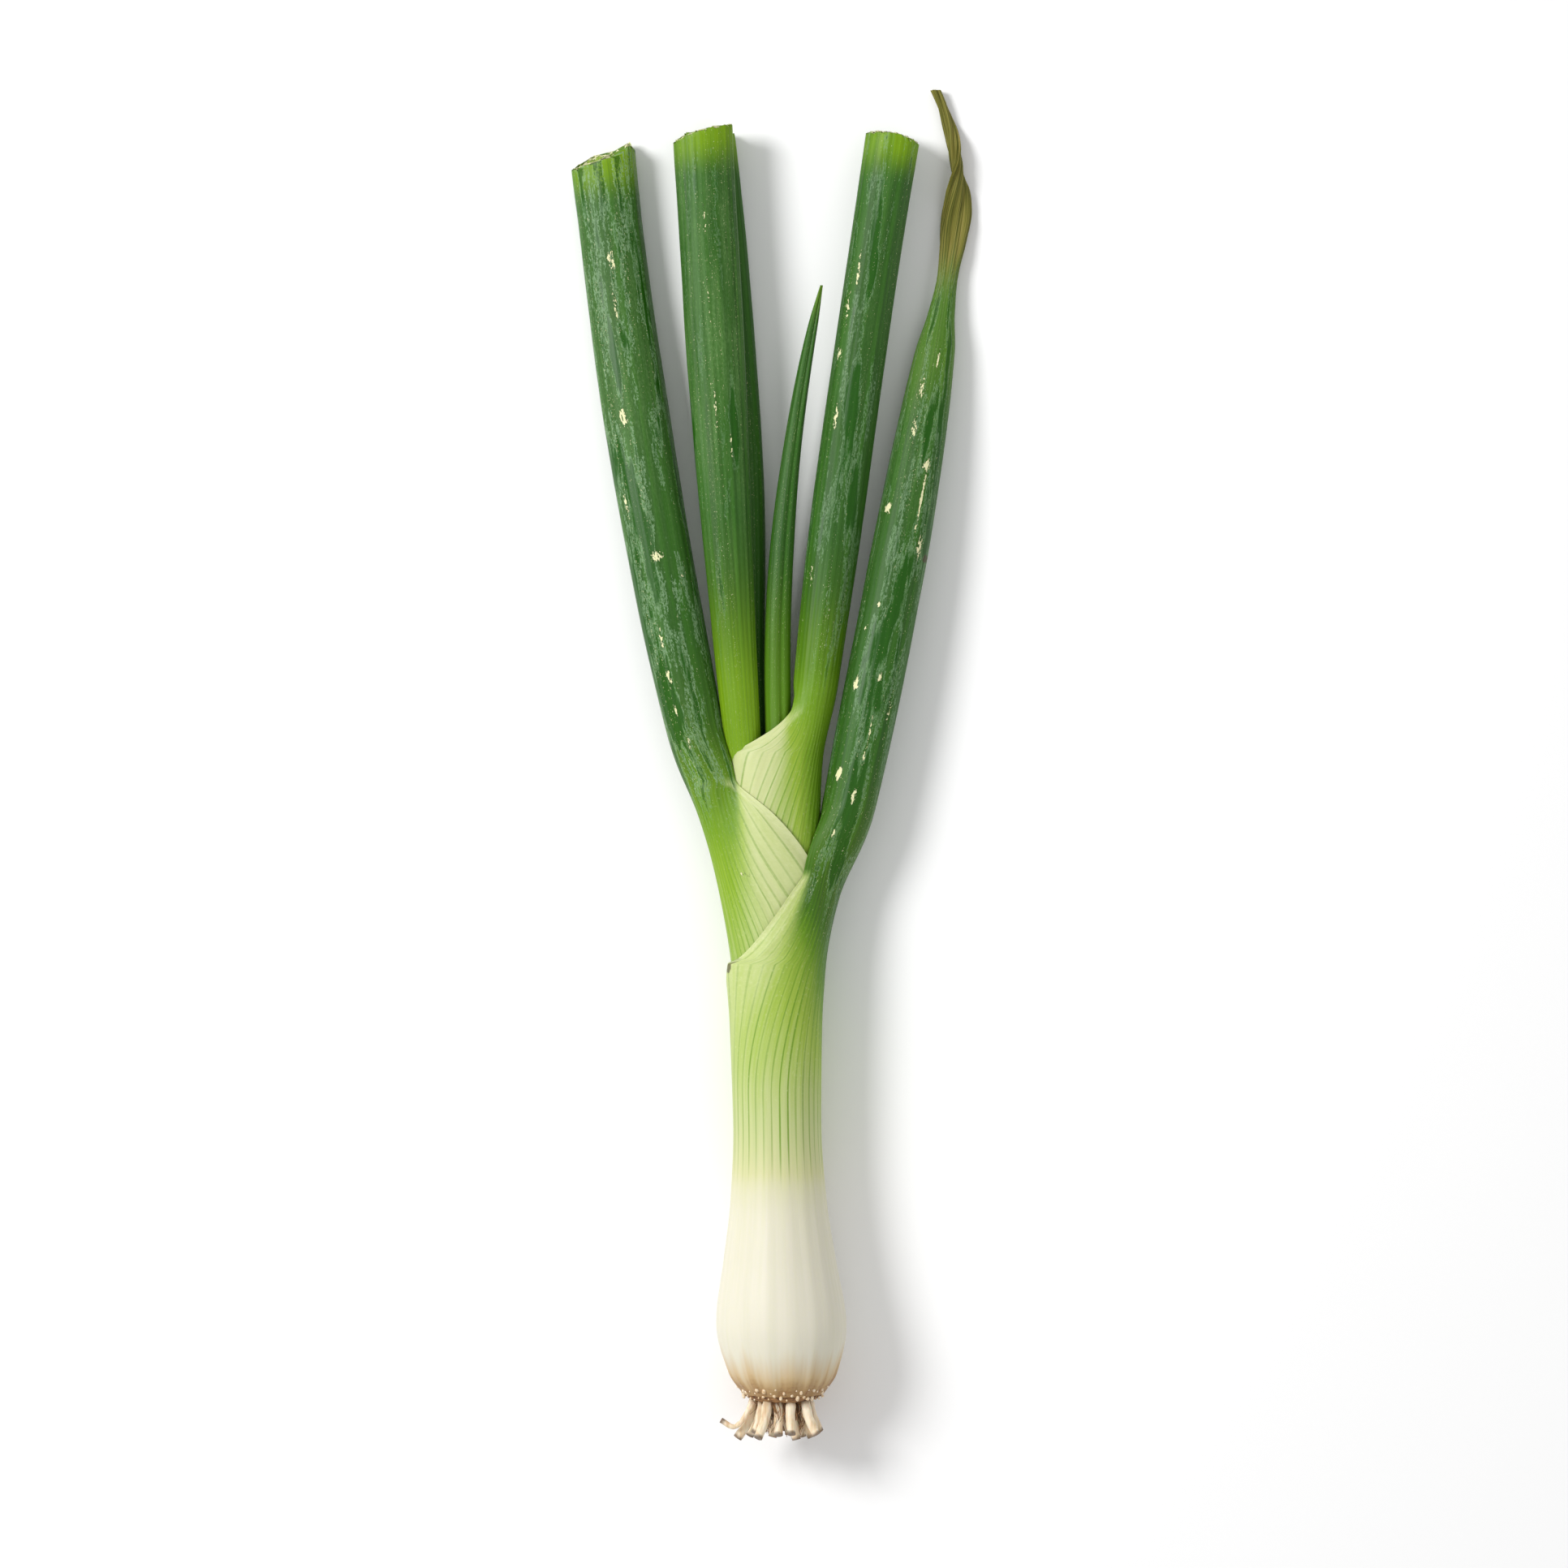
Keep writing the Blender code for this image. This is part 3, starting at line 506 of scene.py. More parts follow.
def colouring(level, membrane, x, y, z, loop):
    """The tint (greenness, yellowness, membrane) and the marks (scar, rubbed, dry) of one place."""
    leaf, above = level.leaf, level.above
    pale = smooth_curve(leaf.pale, level.height)
    green = max(smooth_curve(leaf.green, above), pale) if above > leaf.green[0][0] else pale
    yellow = smooth_curve(leaf.yellow, above)
    seam_at, seam_x, seam_lean, side = leaf.seam
    if side:
        blur = 0.7 + 0.16 * max(leaf.mouth[1] - above, 0.0)
        flap = ramp(side * (x - seam_x - seam_lean * (above - seam_at)), -blur, blur)
        flap *= 1.0 - ramp(above, leaf.mouth[1] - 1.0, leaf.mouth[1] + 2.5)
        green = between(green, pale, flap)
        yellow *= 1.0 - 0.85 * flap
        membrane = max(membrane, 0.5 * flap * ramp(above, leaf.mouth[0] - 20.0, leaf.mouth[0] + 3.0))
        membrane *= 1.0 - ramp(above, leaf.mouth[1] - 1.5, leaf.mouth[1] + 1.5)
    # Painted shade: the sheath's right side, turned away from the light, is coloured a darker green
    if leaf.painted_shade:
        edge = max(math.cos(loop if level.freed > 0.9 else math.atan2(z - level.centre[1], x - level.centre[0])), 0.0)
        green += leaf.painted_shade * edge ** 4 * ramp(above, -85.0, -45.0) * (1.0 - level.freed)
    if leaf.wall:
        side = 0.75 + 0.35 * math.cos(loop - math.radians(60.0))
        yellow = max(yellow, (1.0 - ramp(level.to_cut, 1.0, CUT_YELLOW)) * side)
    scar = rubbed = 0.0
    if z > level.blade_at[1] - 1.5 or level.freed < 0.5:
        for at_x, at_y, long, wide, strength in SCARS.get(leaf.name, ()):
            if abs(y - at_y) < 2.5 * long and abs(x - at_x) < 2.5 * wide + 1.5:
                mark = strength * spot(leaf, x - at_x, y - at_y, long, wide)
                scar = mark if abs(mark) > abs(scar) else scar
        for at_x, at_y, long, wide in RUBS.get(leaf.name, ()):
            if abs(y - at_y) < 2.5 * long and abs(x - at_x) < 4.0 * wide:
                rubbed = max(rubbed, spot(leaf, x - at_x, y - at_y, long, wide))
    return Vector((green, yellow, membrane)), Vector((scar, rubbed, level.dry))


def leaf_heights(leaf, fine):
    """Heights of a leaf's rings: sparse where the sheath is hidden, fine where it shows."""
    shown = ROW_HEIGHT + leaf.visible
    end = ROW_HEIGHT + leaf.length
    heights = []
    at = 0.0
    while at < shown - 4.0:
        heights.append(at)
        at += HIDDEN_STEP
    at = max(shown - 4.0, 0.0)
    steps = max(2, round((end - at) / fine))
    heights += [between(at, end, step / steps) for step in range(steps + 1)]
    if leaf.mouth:
        low = ROW_HEIGHT + leaf.mouth[0]
        nearest = min(range(len(heights)), key=lambda i: abs(heights[i] - low))
        heights[nearest] = low
    return heights


def extrude_ring(bm, ring):
    """Extrudes a ring of edges in place, and returns the new edges and vertices."""
    made = bmesh.ops.extrude_edge_only(bm, edges=ring)["geom"]
    verts = [item for item in made if isinstance(item, bmesh.types.BMVert)]
    new = set(verts)
    edges = [item for item in made if isinstance(item, bmesh.types.BMEdge) and new.issuperset(item.verts)]
    return edges, verts


def ring_start(bm, count, place_layer):
    """A ring of numbered vertices, as its edges and its vertices."""
    verts = bmesh.ops.create_circle(bm, cap_ends=False, segments=count, radius=1.0)["verts"]
    for place, vert in enumerate(verts):
        vert[place_layer] = place
    return list({edge for vert in verts for edge in vert.link_edges}), verts


def build_leaf(leaf, sizes):
    """One leaf as a closed mesh: sheath, mouth and blade, with its colouring in attributes."""
    bm = bmesh.new()
    place_layer = bm.verts.layers.int.new("place")
    ring_layer = bm.verts.layers.int.new("ring")
    tint = bm.verts.layers.float_vector.new("tint")
    marks = bm.verts.layers.float_vector.new("marks")
    uv = bm.loops.layers.uv.new("LeafUV")
    count = sizes.leaf_facets - sizes.leaf_facets % 4
    if leaf is YOUNG:
        count = count // 2
    outside = outside_count(count)
    heights = leaf_heights(leaf, sizes.ring_step)
    ring, verts = ring_start(bm, count, place_layer)
    for number, height in enumerate(heights):
        if number:
            ring, verts = extrude_ring(bm, ring)
        level = Level(leaf, height, sizes)
        for vert in verts:
            if leaf is YOUNG:
                x, z, membrane, loop = young_point(level, vert[place_layer], count)
            else:
                x, z, membrane, loop = level.point(vert[place_layer], count)
            y = height + cut_rise(leaf, level.above, x, z) + SHIFT_Y
            vert.co = Vector((x, y, z)) * MM
            vert[ring_layer] = number
            vert[tint], vert[marks] = colouring(level, membrane, x, y, z, loop)
    if leaf.wall:
        bottom = ROW_HEIGHT + max(leaf.free[1], leaf.swell[1]) + 2.0
        end = heights[-1]
        inside = [(end + 0.12, 0.22), (end + 0.02, 0.6), (end - 0.6, leaf.wall)]
        steps = max(3, round((end - bottom) / 6.0))
        inside += [(between(end - 2.0, bottom, step / steps), leaf.wall) for step in range(steps + 1)]
        for height, inset in inside:
            ring, verts = extrude_ring(bm, ring)
            level = Level(leaf, height, sizes)
            for vert in verts:
                x, z = level.lumen_point(vert[place_layer], count, inset)
                y = height + cut_rise(leaf, min(level.above, leaf.length), x, z) + SHIFT_Y
                vert.co = Vector((x, y, z)) * MM
                vert[ring_layer] = len(heights)
                vert[tint] = Vector((0.45, 0.35, 0.0))
                vert[marks] = Vector((0.8 if height > end - 0.5 else 0.0, 0.0, 0.0))
    bmesh.ops.holes_fill(bm, edges=ring, sides=0)
    # Each corner gets how far round the leaf and how high it lies
    length = heights[-1]
    for face in bm.faces:
        places = [loop.vert[place_layer] for loop in face.loops]
        wraps = max(places) - min(places) > count // 2
        for loop, place in zip(face.loops, places):
            round_share = (place + (count if wraps and place < count // 2 else 0)) / count
            loop[uv].uv = (round_share, (loop.vert.co.y / MM - SHIFT_Y) / length)
    if leaf is not YOUNG:
        join_seam(bm, leaf, heights, place_layer, ring_layer, outside - 1, count)
    else:
        base = [edge for edge in bm.edges if edge.is_boundary]
        bmesh.ops.holes_fill(bm, edges=base, sides=0)
    bmesh.ops.recalc_face_normals(bm, faces=bm.faces)
    return finish_mesh(bm, leaf.name, tidy=("place", "ring"))


def young_point(level, place, count):
    """A place round the innermost leaf, which is one solid rod of sheath and blade."""
    angle = math.tau * place / count
    out = level.relief(angle, angle, math.cos(angle), False) * 0.6
    sheath_x = level.centre[0] + level.sheath[0] * math.cos(angle)
    sheath_z = level.centre[1] + level.sheath[1] * math.sin(angle)
    crease = 0.25 * math.exp(-((math.atan2(math.sin(angle - 1.2), math.cos(angle - 1.2)) / 0.25) ** 2))
    blade_x = level.blade_at[0] + (level.blade[0] + out - crease * level.freed) * math.cos(angle)
    blade_z = level.blade_at[1] + (level.blade[1] + out - crease * level.freed) * math.sin(angle)
    return between(sheath_x, blade_x, level.freed), between(sheath_z, blade_z, level.freed), 0.0, angle


def join_seam(bm, leaf, heights, place_layer, ring_layer, half, count):
    """Below the mouth the sheath closes into a ring, and its lower end gets an annular face."""
    low = ROW_HEIGHT + leaf.mouth[0]
    closed = sum(1 for height in heights if height <= low + 1e-6)
    doubled = []
    for face in bm.faces:
        places = {vert[place_layer] for vert in face.verts}
        rings = {vert[ring_layer] for vert in face.verts}
        if places in ({half, half + 1}, {0, count - 1}) and max(rings) < closed:
            doubled.append(face)
    bmesh.ops.delete(bm, geom=doubled, context="FACES")
    seam = [
        vert for vert in bm.verts
        if vert[ring_layer] < closed and vert[place_layer] in (0, half, half + 1, count - 1)
    ]
    loose = [vert for vert in seam if not vert.link_faces]
    bmesh.ops.remove_doubles(bm, verts=[vert for vert in seam if vert not in loose], dist=1e-7)
    wires = [edge for edge in bm.edges if not edge.link_faces]
    bmesh.ops.delete(bm, geom=wires, context="EDGES")
    base = [edge for edge in bm.edges if edge.is_boundary and edge.verts[0][ring_layer] == 0]
    bmesh.ops.bridge_loops(bm, edges=base)


def finish_mesh(bm, name, tidy=()):
    mesh = bpy.data.meshes.new(name)
    bm.to_mesh(mesh)
    bm.free()
    for attribute in tidy:
        mesh.attributes.remove(mesh.attributes[attribute])
    mesh.shade_smooth()
    mesh.set_sharp_from_angle(angle=SHARP_EDGE)
    return mesh


def add_piece(name, mesh, material, nodes, slot):
    """Puts a finished mesh in the scene, riding on the onion's body in place of CAD nodes."""
    piece = bpy.data.objects.new(name, mesh)
    bpy.context.scene.collection.objects.link(piece)
    mesh.materials.clear()
    mesh.materials.append(material)
    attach(piece, "root")
    if nodes:
        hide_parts(*nodes)


class Shade:
    """A material and short ways to add its nodes."""

    def __init__(self, name):
        old = bpy.data.materials.get(name)
        if old:
            bpy.data.materials.remove(old)
        self.material = bpy.data.materials.new(name)
        self.material.use_nodes = True
        self.tree = self.material.node_tree
        self.shader = self.tree.nodes["Principled BSDF"]

    def node(self, kind, inputs=(), **settings):
        made = self.tree.nodes.new(kind)
        for key, value in settings.items():
            setattr(made, key, value)
        for key, value in dict(inputs).items():
            self.plug(value, made.inputs[key])
        return made

    def plug(self, value, socket):
        if isinstance(value, bpy.types.NodeSocket):
            self.tree.links.new(value, socket)
        elif value is not None:
            if socket.type == "RGBA" and len(value) == 3:
                value = (*value, 1.0)
            socket.default_value = value

    def math(self, operation, a, b=0.0, clamp=False):
        return self.node("ShaderNodeMath", {0: a, 1: b}, operation=operation, use_clamp=clamp).outputs[0]

    def times(self, a, b, clamp=False):
        return self.math("MULTIPLY", a, b, clamp)

    def plus(self, a, b, clamp=False):
        return self.math("ADD", a, b, clamp)

    def swing(self, value, amount, middle=0.5):
        """A noise value moved down to swing round 0, and scaled."""
        return self.times(self.math("SUBTRACT", value, middle), amount)

    def mix(self, share, a, b):
        made = self.node("ShaderNodeMix", {0: share}, data_type="RGBA")
        self.plug(a, made.inputs[6])
        self.plug(b, made.inputs[7])
        return made.outputs[2]

    def over(self, colour, share, strength, other):
        """Lays another colour over this one, by a share of the strength."""
        return self.mix(self.times(share, strength), colour, other)

    def rise(self, value, start, stop, low=0.0, high=1.0):
        inputs = {0: value, 1: start, 2: stop, 3: low, 4: high}
        return self.node("ShaderNodeMapRange", inputs, interpolation_type="SMOOTHSTEP").outputs[0]

    def attribute(self, name):
        vector = self.node("ShaderNodeAttribute", attribute_name=name).outputs["Vector"]
        return self.node("ShaderNodeSeparateXYZ", {0: vector}).outputs

    def noise(self, vector, scale, detail=2.0, roughness=0.5):
        inputs = {"Vector": vector, "Scale": scale, "Detail": detail, "Roughness": roughness}
        return self.node("ShaderNodeTexNoise", inputs).outputs["Fac"]

    def stretched(self, vector, scale):
        return self.node("ShaderNodeVectorMath", {0: vector, 1: scale}, operation="MULTIPLY").outputs[0]

    def streaks(self, place, along, scale, detail=2.0, roughness=0.5, across=1.0):
        """Noise drawn out along a leaf."""
        return self.noise(self.stretched(place, (across, across, along)), scale, detail, roughness)

    def colours(self, value, stops):
        made = self.node("ShaderNodeValToRGB", {0: value})
        ramp_stops = made.color_ramp.elements
        while len(ramp_stops) < len(stops):
            ramp_stops.new(0.5)
        for stop, (at, colour) in zip(ramp_stops, stops):
            stop.position = at
            stop.color = (*colour, 1.0)
        return made.outputs[0]

    def bump(self, height, strength, distance):
        inputs = {"Height": height, "Strength": strength, "Distance": distance}
        return self.node("ShaderNodeBump", inputs).outputs[0]

    def finish(self, colour, roughness, normal=None, **values):
        self.plug(colour, self.shader.inputs["Base Color"])
        self.plug(roughness, self.shader.inputs["Roughness"])
        if normal is not None:
            self.plug(normal, self.shader.inputs["Normal"])
        for key, value in values.items():
            self.shader.inputs[key.replace("_", " ")].default_value = value
        return self.material


def leaf_material(leaf, colours, sizes):
    """Waxy leaf tissue: white in the bulb, veined in the sheath, green, bloomed and scarred in the blade."""
    s = Shade(leaf.name + "_tissue")
    uv = s.node("ShaderNodeUVMap", uv_map="LeafUV").outputs[0]
    u, v, _ = s.node("ShaderNodeSeparateXYZ", {0: uv}).outputs
    length = ROW_HEIGHT + leaf.length
    angle = s.times(u, math.tau)
    along = s.times(v, length)
    ring_x = s.times(s.math("COSINE", angle), 5.0)
    ring_y = s.times(s.math("SINE", angle), 5.0)
    round_leaf = s.node("ShaderNodeCombineXYZ", {0: ring_x, 1: ring_y, 2: along}).outputs[0]
    green, yellow, membrane = s.attribute("tint")
    scar, rubbed, dry = s.attribute("marks")
    offset = 13.0 * leaf.layer
    moved = s.node("ShaderNodeVectorMath", {0: round_leaf, 1: (offset, 0.0, 0.0)}, operation="ADD").outputs[0]

    fine = s.streaks(moved, 0.012, 3.2, 3.0, 0.6)
    broad = s.streaks(moved, 0.02, 0.9, 2.0, 0.5)
    cells = s.streaks(moved, 0.35, 4.5, 3.0, 0.7)
    cloud = s.streaks(moved, 0.1, 0.5, 3.0, 0.6)

    unrest = s.swing(fine, s.rise(green, 0.0, 0.35, 0.04, 0.22))
    streaked = s.plus(green, unrest, clamp=True)
    colour = s.colours(
        streaked,
        [
            (0.0, colours.bulb), (0.14, srgb(210, 208, 160)), (0.33, colours.sheath),
            (0.5, srgb(158, 184, 72)), (0.68, srgb(94, 138, 26)), (0.84, srgb(56, 108, 18)),
            (1.0, colours.blade),
        ],
    )
    # Blade stripes: lighter and darker bands along the leaf
    bladed = s.rise(green, 0.6, 1.0)
    stripe = s.rise(fine, 0.34, 0.66)
    colour = s.mix(s.times(s.times(stripe, bladed), 0.42), colour, colours.stripe)
    dark = s.rise(broad, 0.62, 0.4)
    colour = s.mix(s.times(s.times(dark, bladed), 0.45), colour, colours.deep)

    # Yellow-green at the blade's base and at a cut
    glow = s.times(yellow, s.rise(fine, 0.2, 0.75, 0.55, 1.1), clamp=True)
    colour = s.over(colour, glow, 0.85, colours.young_green)

    # Veins: thin green lines in the pale sheath, each of its own strength
    turn = s.times(u, sizes.sheath_veins / 0.75)
    line = s.math("PINGPONG", turn, 0.5)
    wobble = s.swing(s.streaks(moved, 0.05, 1.4, across=0.5), 0.16)
    line = s.plus(line, wobble)
    width = s.rise(line, 0.14, 0.05)
    own = s.rise(s.streaks(moved, 0.01, 0.8, 0.0, across=1.3), 0.35, 0.6, 0.55, 1.0)
    where = s.times(s.rise(green, 0.05, 0.3), s.rise(green, 0.95, 0.7))
    where = s.times(where, s.rise(membrane, 0.95, 0.45))
    vein = s.times(s.times(width, own), where)
    colour = s.over(colour, vein, 0.85, colours.vein)

    # Membrane at the sheath's margin: thin, whitish and finely speckled
    filmy = s.times(membrane, s.rise(cells, 0.25, 0.7, 0.45, 0.85))
    colour = s.mix(filmy, colour, colours.membrane)
    speckle = s.times(s.rise(cells, 0.56, 0.74), s.rise(green, 0.2, 0.45))
    speckle = s.times(speckle, s.rise(green, 0.9, 0.6))
    colour = s.over(colour, speckle, 0.3, colours.membrane)

    # Wax bloom on the blade, and where it is rubbed away
    worn = s.plus(s.times(rubbed, 0.3), cloud)
    worn = s.plus(worn, s.swing(cells, 0.3))
    limit = 0.76 - 0.26 * leaf.wear
    bare = s.times(s.rise(worn, limit, limit + 0.035), bladed)
    rim = s.times(s.rise(worn, limit - 0.07, limit - 0.01), s.rise(worn, limit + 0.05, limit))
    rim = s.times(s.times(rim, bladed), s.rise(cells, 0.35, 0.6))
    grains = s.rise(cells, 0.38, 0.72, 0.35, 1.0)
    waxed = s.times(s.rise(cloud, 0.7, 0.36), s.rise(fine, 0.25, 0.7, 0.45, 1.0))
    waxed = s.times(s.times(waxed, grains), bladed)
    waxed = s.times(waxed, s.rise(along, ROW_HEIGHT + 5.0, ROW_HEIGHT + 70.0, 0.2, 1.0))
    waxed = s.times(waxed, s.math("SUBTRACT", 1.0, bare))
    waxed = s.times(waxed, s.math("SUBTRACT", 1.0, glow))
    colour = s.over(colour, bare, 0.75, colours.rubbed)
    colour = s.over(colour, waxed, leaf.bloom, colours.bloom)
    colour = s.over(colour, rim, 0.8 * leaf.wear, srgb(140, 172, 132))

    # Fine pale specks, in rows
    dots = s.streaks(moved, 0.55, 5.5, 1.0)
    rows = s.rise(s.streaks(moved, 0.01, 1.5, 1.0), 0.47, 0.62)
    speck = s.times(s.times(s.rise(dots, 0.66, 0.74), rows), bladed)
    colour = s.over(colour, speck, 0.55, colours.scar)

    # Scars: cream flecks with a dark edge
    torn = s.streaks(moved, 0.4, 2.6, 3.0, 0.7)
    rough_scar = s.plus(scar, s.swing(torn, 2.2, 0.54))
    rough_scar = s.times(rough_scar, s.rise(scar, 0.02, 0.3))
    edge = s.times(s.rise(rough_scar, 0.34, 0.46), s.rise(rough_scar, 0.62, 0.5))
    colour = s.over(colour, edge, 0.45, colours.deep)
    fleck = s.rise(rough_scar, 0.52, 0.62)
    colour = s.mix(fleck, colour, colours.scar)
    dent = s.rise(s.plus(scar, s.swing(torn, 0.5)), -0.3, -0.6)
    colour = s.over(colour, dent, 0.8, srgb(66, 54, 24))

    # The withered end
    straw = s.colours(
        fine,
        [(0.3, srgb(48, 56, 12)), (0.45, srgb(90, 94, 32)), (0.57, srgb(128, 122, 54)), (0.72, srgb(166, 150, 92))],
    )
    colour = s.mix(s.rise(s.plus(dry, s.times(fine, 0.4)), 0.35, 1.0), colour, straw)

    # The stained foot of the bulb
    if leaf is OUTER:
        colour = stained_foot(s, colour, along, moved, colours)

    roughness = s.plus(s.times(waxed, 0.15), 0.46)
    roughness = s.math("SUBTRACT", roughness, s.times(bare, 0.1))
    roughness = s.plus(roughness, s.times(dry, 0.3))
    relief = s.plus(s.times(fine, 0.6), s.times(cells, 0.4))
    relief = s.math("SUBTRACT", relief, s.times(fleck, 0.5))
    normal = s.bump(relief, 0.35, 0.00012)
    return s.finish(
        colour, roughness, normal, Subsurface_Weight=0.12, Subsurface_Radius=(1.0, 0.9, 0.35),
        Subsurface_Scale=0.0012, Specular_IOR_Level=0.22,
    )


def stained_foot(s, colour, along, moved, colours):
    """Brown stain that creeps up the furrows from the foot of the bulb."""
    furrow = s.streaks(moved, 0.03, 1.1, 2.0, 0.6)
    creep = s.plus(along, s.swing(furrow, -9.0))
    light = s.rise(creep, 10.5, 2.2)
    heavy = s.rise(creep, 5.0, 1.0)
    grime = s.rise(s.noise(moved, 1.6, 3.0, 0.7), 0.45, 0.7)
    colour = s.over(colour, light, 0.85, colours.stain)
    colour = s.mix(s.times(heavy, s.plus(s.times(grime, 0.35), 0.5)), colour, colours.soil)
    return colour


def root_material(colours):
    """Dry tan root skin, darker and cracked at the cut tip and where it meets the plate."""
    s = Shade("Root_skin")
    uv = s.node("ShaderNodeUVMap", uv_map="LeafUV").outputs[0]
    v = s.node("ShaderNodeSeparateXYZ", {0: uv}).outputs[1]
    place = s.node("ShaderNodeTexCoord").outputs["Object"]
    streak = s.noise(s.stretched(place, (1.0, 0.1, 1.0)), 1300.0, 2.0, 0.55)
    patch = s.noise(place, 420.0, 2.0, 0.6)
    colour = s.colours(
        streak, [(0.28, srgb(210, 180, 140)), (0.44, colours.root), (0.62, srgb(242, 228, 202))]
    )
    foot = s.rise(s.plus(v, s.times(patch, 0.3)), 0.36, 0.12)
    colour = s.over(colour, foot, 0.75, colours.soil)
    tip = s.rise(s.plus(v, s.times(patch, 0.16)), 0.98, 1.08)
    colour = s.over(colour, tip, 0.8, srgb(74, 48, 28))
    normal = s.bump(streak, 0.2, 0.0001)
    return s.finish(colour, 0.6, normal, Subsurface_Weight=0.15, Subsurface_Scale=0.0008)


def crust_material(name, light, dark, scale):
    """Rough crust in two tones, for the plate, its nubs and its fibres."""
    s = Shade(name)
    place = s.node("ShaderNodeTexCoord").outputs["Object"]
    patch = s.noise(place, scale, 4.0, 0.65)
    grain = s.noise(place, scale * 4.0, 2.0, 0.6)
    colour = s.mix(s.rise(patch, 0.36, 0.64), dark, light)
    colour = s.mix(s.times(s.rise(grain, 0.6, 0.72), 0.4), colour, dark)
    return s.finish(colour, 0.7, s.bump(patch, 0.6, 0.00025))


def root_routes():
    """The root stubs' number, place out from the middle, angle, length, outward run and bend."""
    for number in range(ROOT_COUNT):
        out = ROOT_CIRCLE * math.sqrt((number + 0.35) / (ROOT_COUNT - 0.65))
        angle = number * math.pi * (3 - math.sqrt(5))
        length = ROOT_LENGTH
        if number < ROOT_COUNT - 1:
            length *= 0.9 + 0.1 * math.sin(2.7 * number)
        yield number, out, angle, length, ROOT_FAN * length * out / ROOT_CIRCLE, 0.5 * math.sin(1.9 * number)


def tube(bm, points, radii, sides, lobes=0.0, seed=0.0, uv=None):
    """A closed tube through points with a radius at each, grown ring by ring from a circle."""
    place_layer = bm.verts.layers.int.get("place") or bm.verts.layers.int.new("place")
    ring, verts = ring_start(bm, sides, place_layer)
    first = ring
    rows = []
    for number, (point, radius) in enumerate(zip(points, radii)):
        if number:
            ring, verts = extrude_ring(bm, ring)
        ahead = points[min(number + 1, len(points) - 1)] - points[max(number - 1, 0)]
        turn = Vector((0.0, 0.0, 1.0)).rotation_difference(ahead.normalized())
        for vert in verts:
            angle = math.tau * vert[place_layer] / sides
            swell = 1.0 + lobes * noise.noise(
                Vector((2.2 * math.cos(angle) + seed, 2.2 * math.sin(angle), 0.6 * number * 8 / len(points) + seed))
            )
            flat = Vector((math.cos(angle), math.sin(angle), 0.0)) * radius * swell
            vert.co = (point + turn @ flat) * MM
        rows.append(verts)
    for end in (first, ring):
        bmesh.ops.holes_fill(bm, edges=end, sides=0)
    if uv is not None:
        for number, row in enumerate(rows):
            for vert in row:
                across = 0.5 if number in (0, len(rows) - 1) else vert[place_layer] / sides
                for loop in vert.link_loops:
                    loop[uv].uv = (across, number / (len(rows) - 1))


def build_root(number, points, radii, sides, lobes, seed):
    """One root as a finished mesh, along its points."""
    bm = bmesh.new()
    uv = bm.loops.layers.uv.new("LeafUV")
    tube(bm, points, radii, sides, lobes=lobes, seed=seed, uv=uv)
    bmesh.ops.recalc_face_normals(bm, faces=bm.faces)
    return finish_mesh(bm, f"Root_stub_{number:02d}", tidy=("place",))


def build_stub(number, out, angle, length, run, bend):
    """A cut root stub that runs down and outward from the plate."""
    x, z = bundle_centre(0.0)
    top = SHIFT_Y - 0.5
    drop = PLATE_THICKNESS + 2.2 * CLEARANCE - 1.4
    points, radii = [], []
    for i in range(ROOT_STEPS + 1):
        t = i / ROOT_STEPS
        away = out + run * t * t
        aside = bend * t * t
        wander = 0.12 * noise.noise(Vector((number * 3.1, 3.0 * t, 0.0)))
        at_x = x + away * math.cos(angle) - aside * math.sin(angle) + wander
        at_z = z + away * math.sin(angle) + aside * math.cos(angle) + wander
        points.append(Vector((at_x, top - (length + drop) * t, at_z)))
        bulge = 1.0 + 0.1 * noise.noise(Vector((number * 7.7, 6.0 * t, 1.0)))
        radii.append((between(0.8, 1.05, ramp(t, 0.0, 0.3)) - 0.2 * t) * bulge)
    return build_root(number + 1, points, radii, 30, 0.1, number * 1.7)


def build_stray_root():
    """The thin root that bends away to the side."""
    x, z = bundle_centre(0.0)
    keys = [(x + aside, ROOT_FOOT + low, z + over) for aside, low, over in STRAY_ROOT]
    points, radii = [], []
    for i in range(ROOT_STEPS + 1):
        at = i / ROOT_STEPS * (len(keys) - 1)
        points.append(Vector([smooth_curve([(n, key[axis]) for n, key in enumerate(keys)], at) for axis in range(3)]))
        radii.append(0.5 * (1.0 + 0.12 * noise.noise(Vector((3.0, 0.4 * i, 0.0)))))
    return build_root(ROOT_COUNT + 1, points, radii, 20, 0.2, 4.0)


def count(name, description, default, least):
    return IntProperty(name=name, description=description, default=default, min=least)


def amount(name, description, default, least):
    return FloatProperty(name=name, description=description, default=default, min=least)


def tone(name, description, default):
    return FloatVectorProperty(
        name=name, description=description, subtype="COLOR", size=3, default=default, min=0.0, max=1.0
    )


class OnionSizes(bpy.types.PropertyGroup):
    """Sizes and counts that shape the fine surface."""

    leaf_facets: count("Leaf facets", "Facets round a leaf", 224, 24)
    ring_step: amount("Ring step", "Millimetres between rings along a leaf", 0.8, 0.2)
    rib_depth: amount("Rib depth", "Depth of the blades' ribs", 1.0, 0.0)
    blade_ribs: count("Blade ribs", "Ribs round a blade", 26, 3)
    sheath_veins: count("Sheath veins", "Veins round a sheath", 34, 4)
    nub_count: count("Nubs", "Pale nubs round the foot of the bulb", 84, 3)
    fibre_count: count("Fibres", "Fine fibres between the roots", 260, 0)


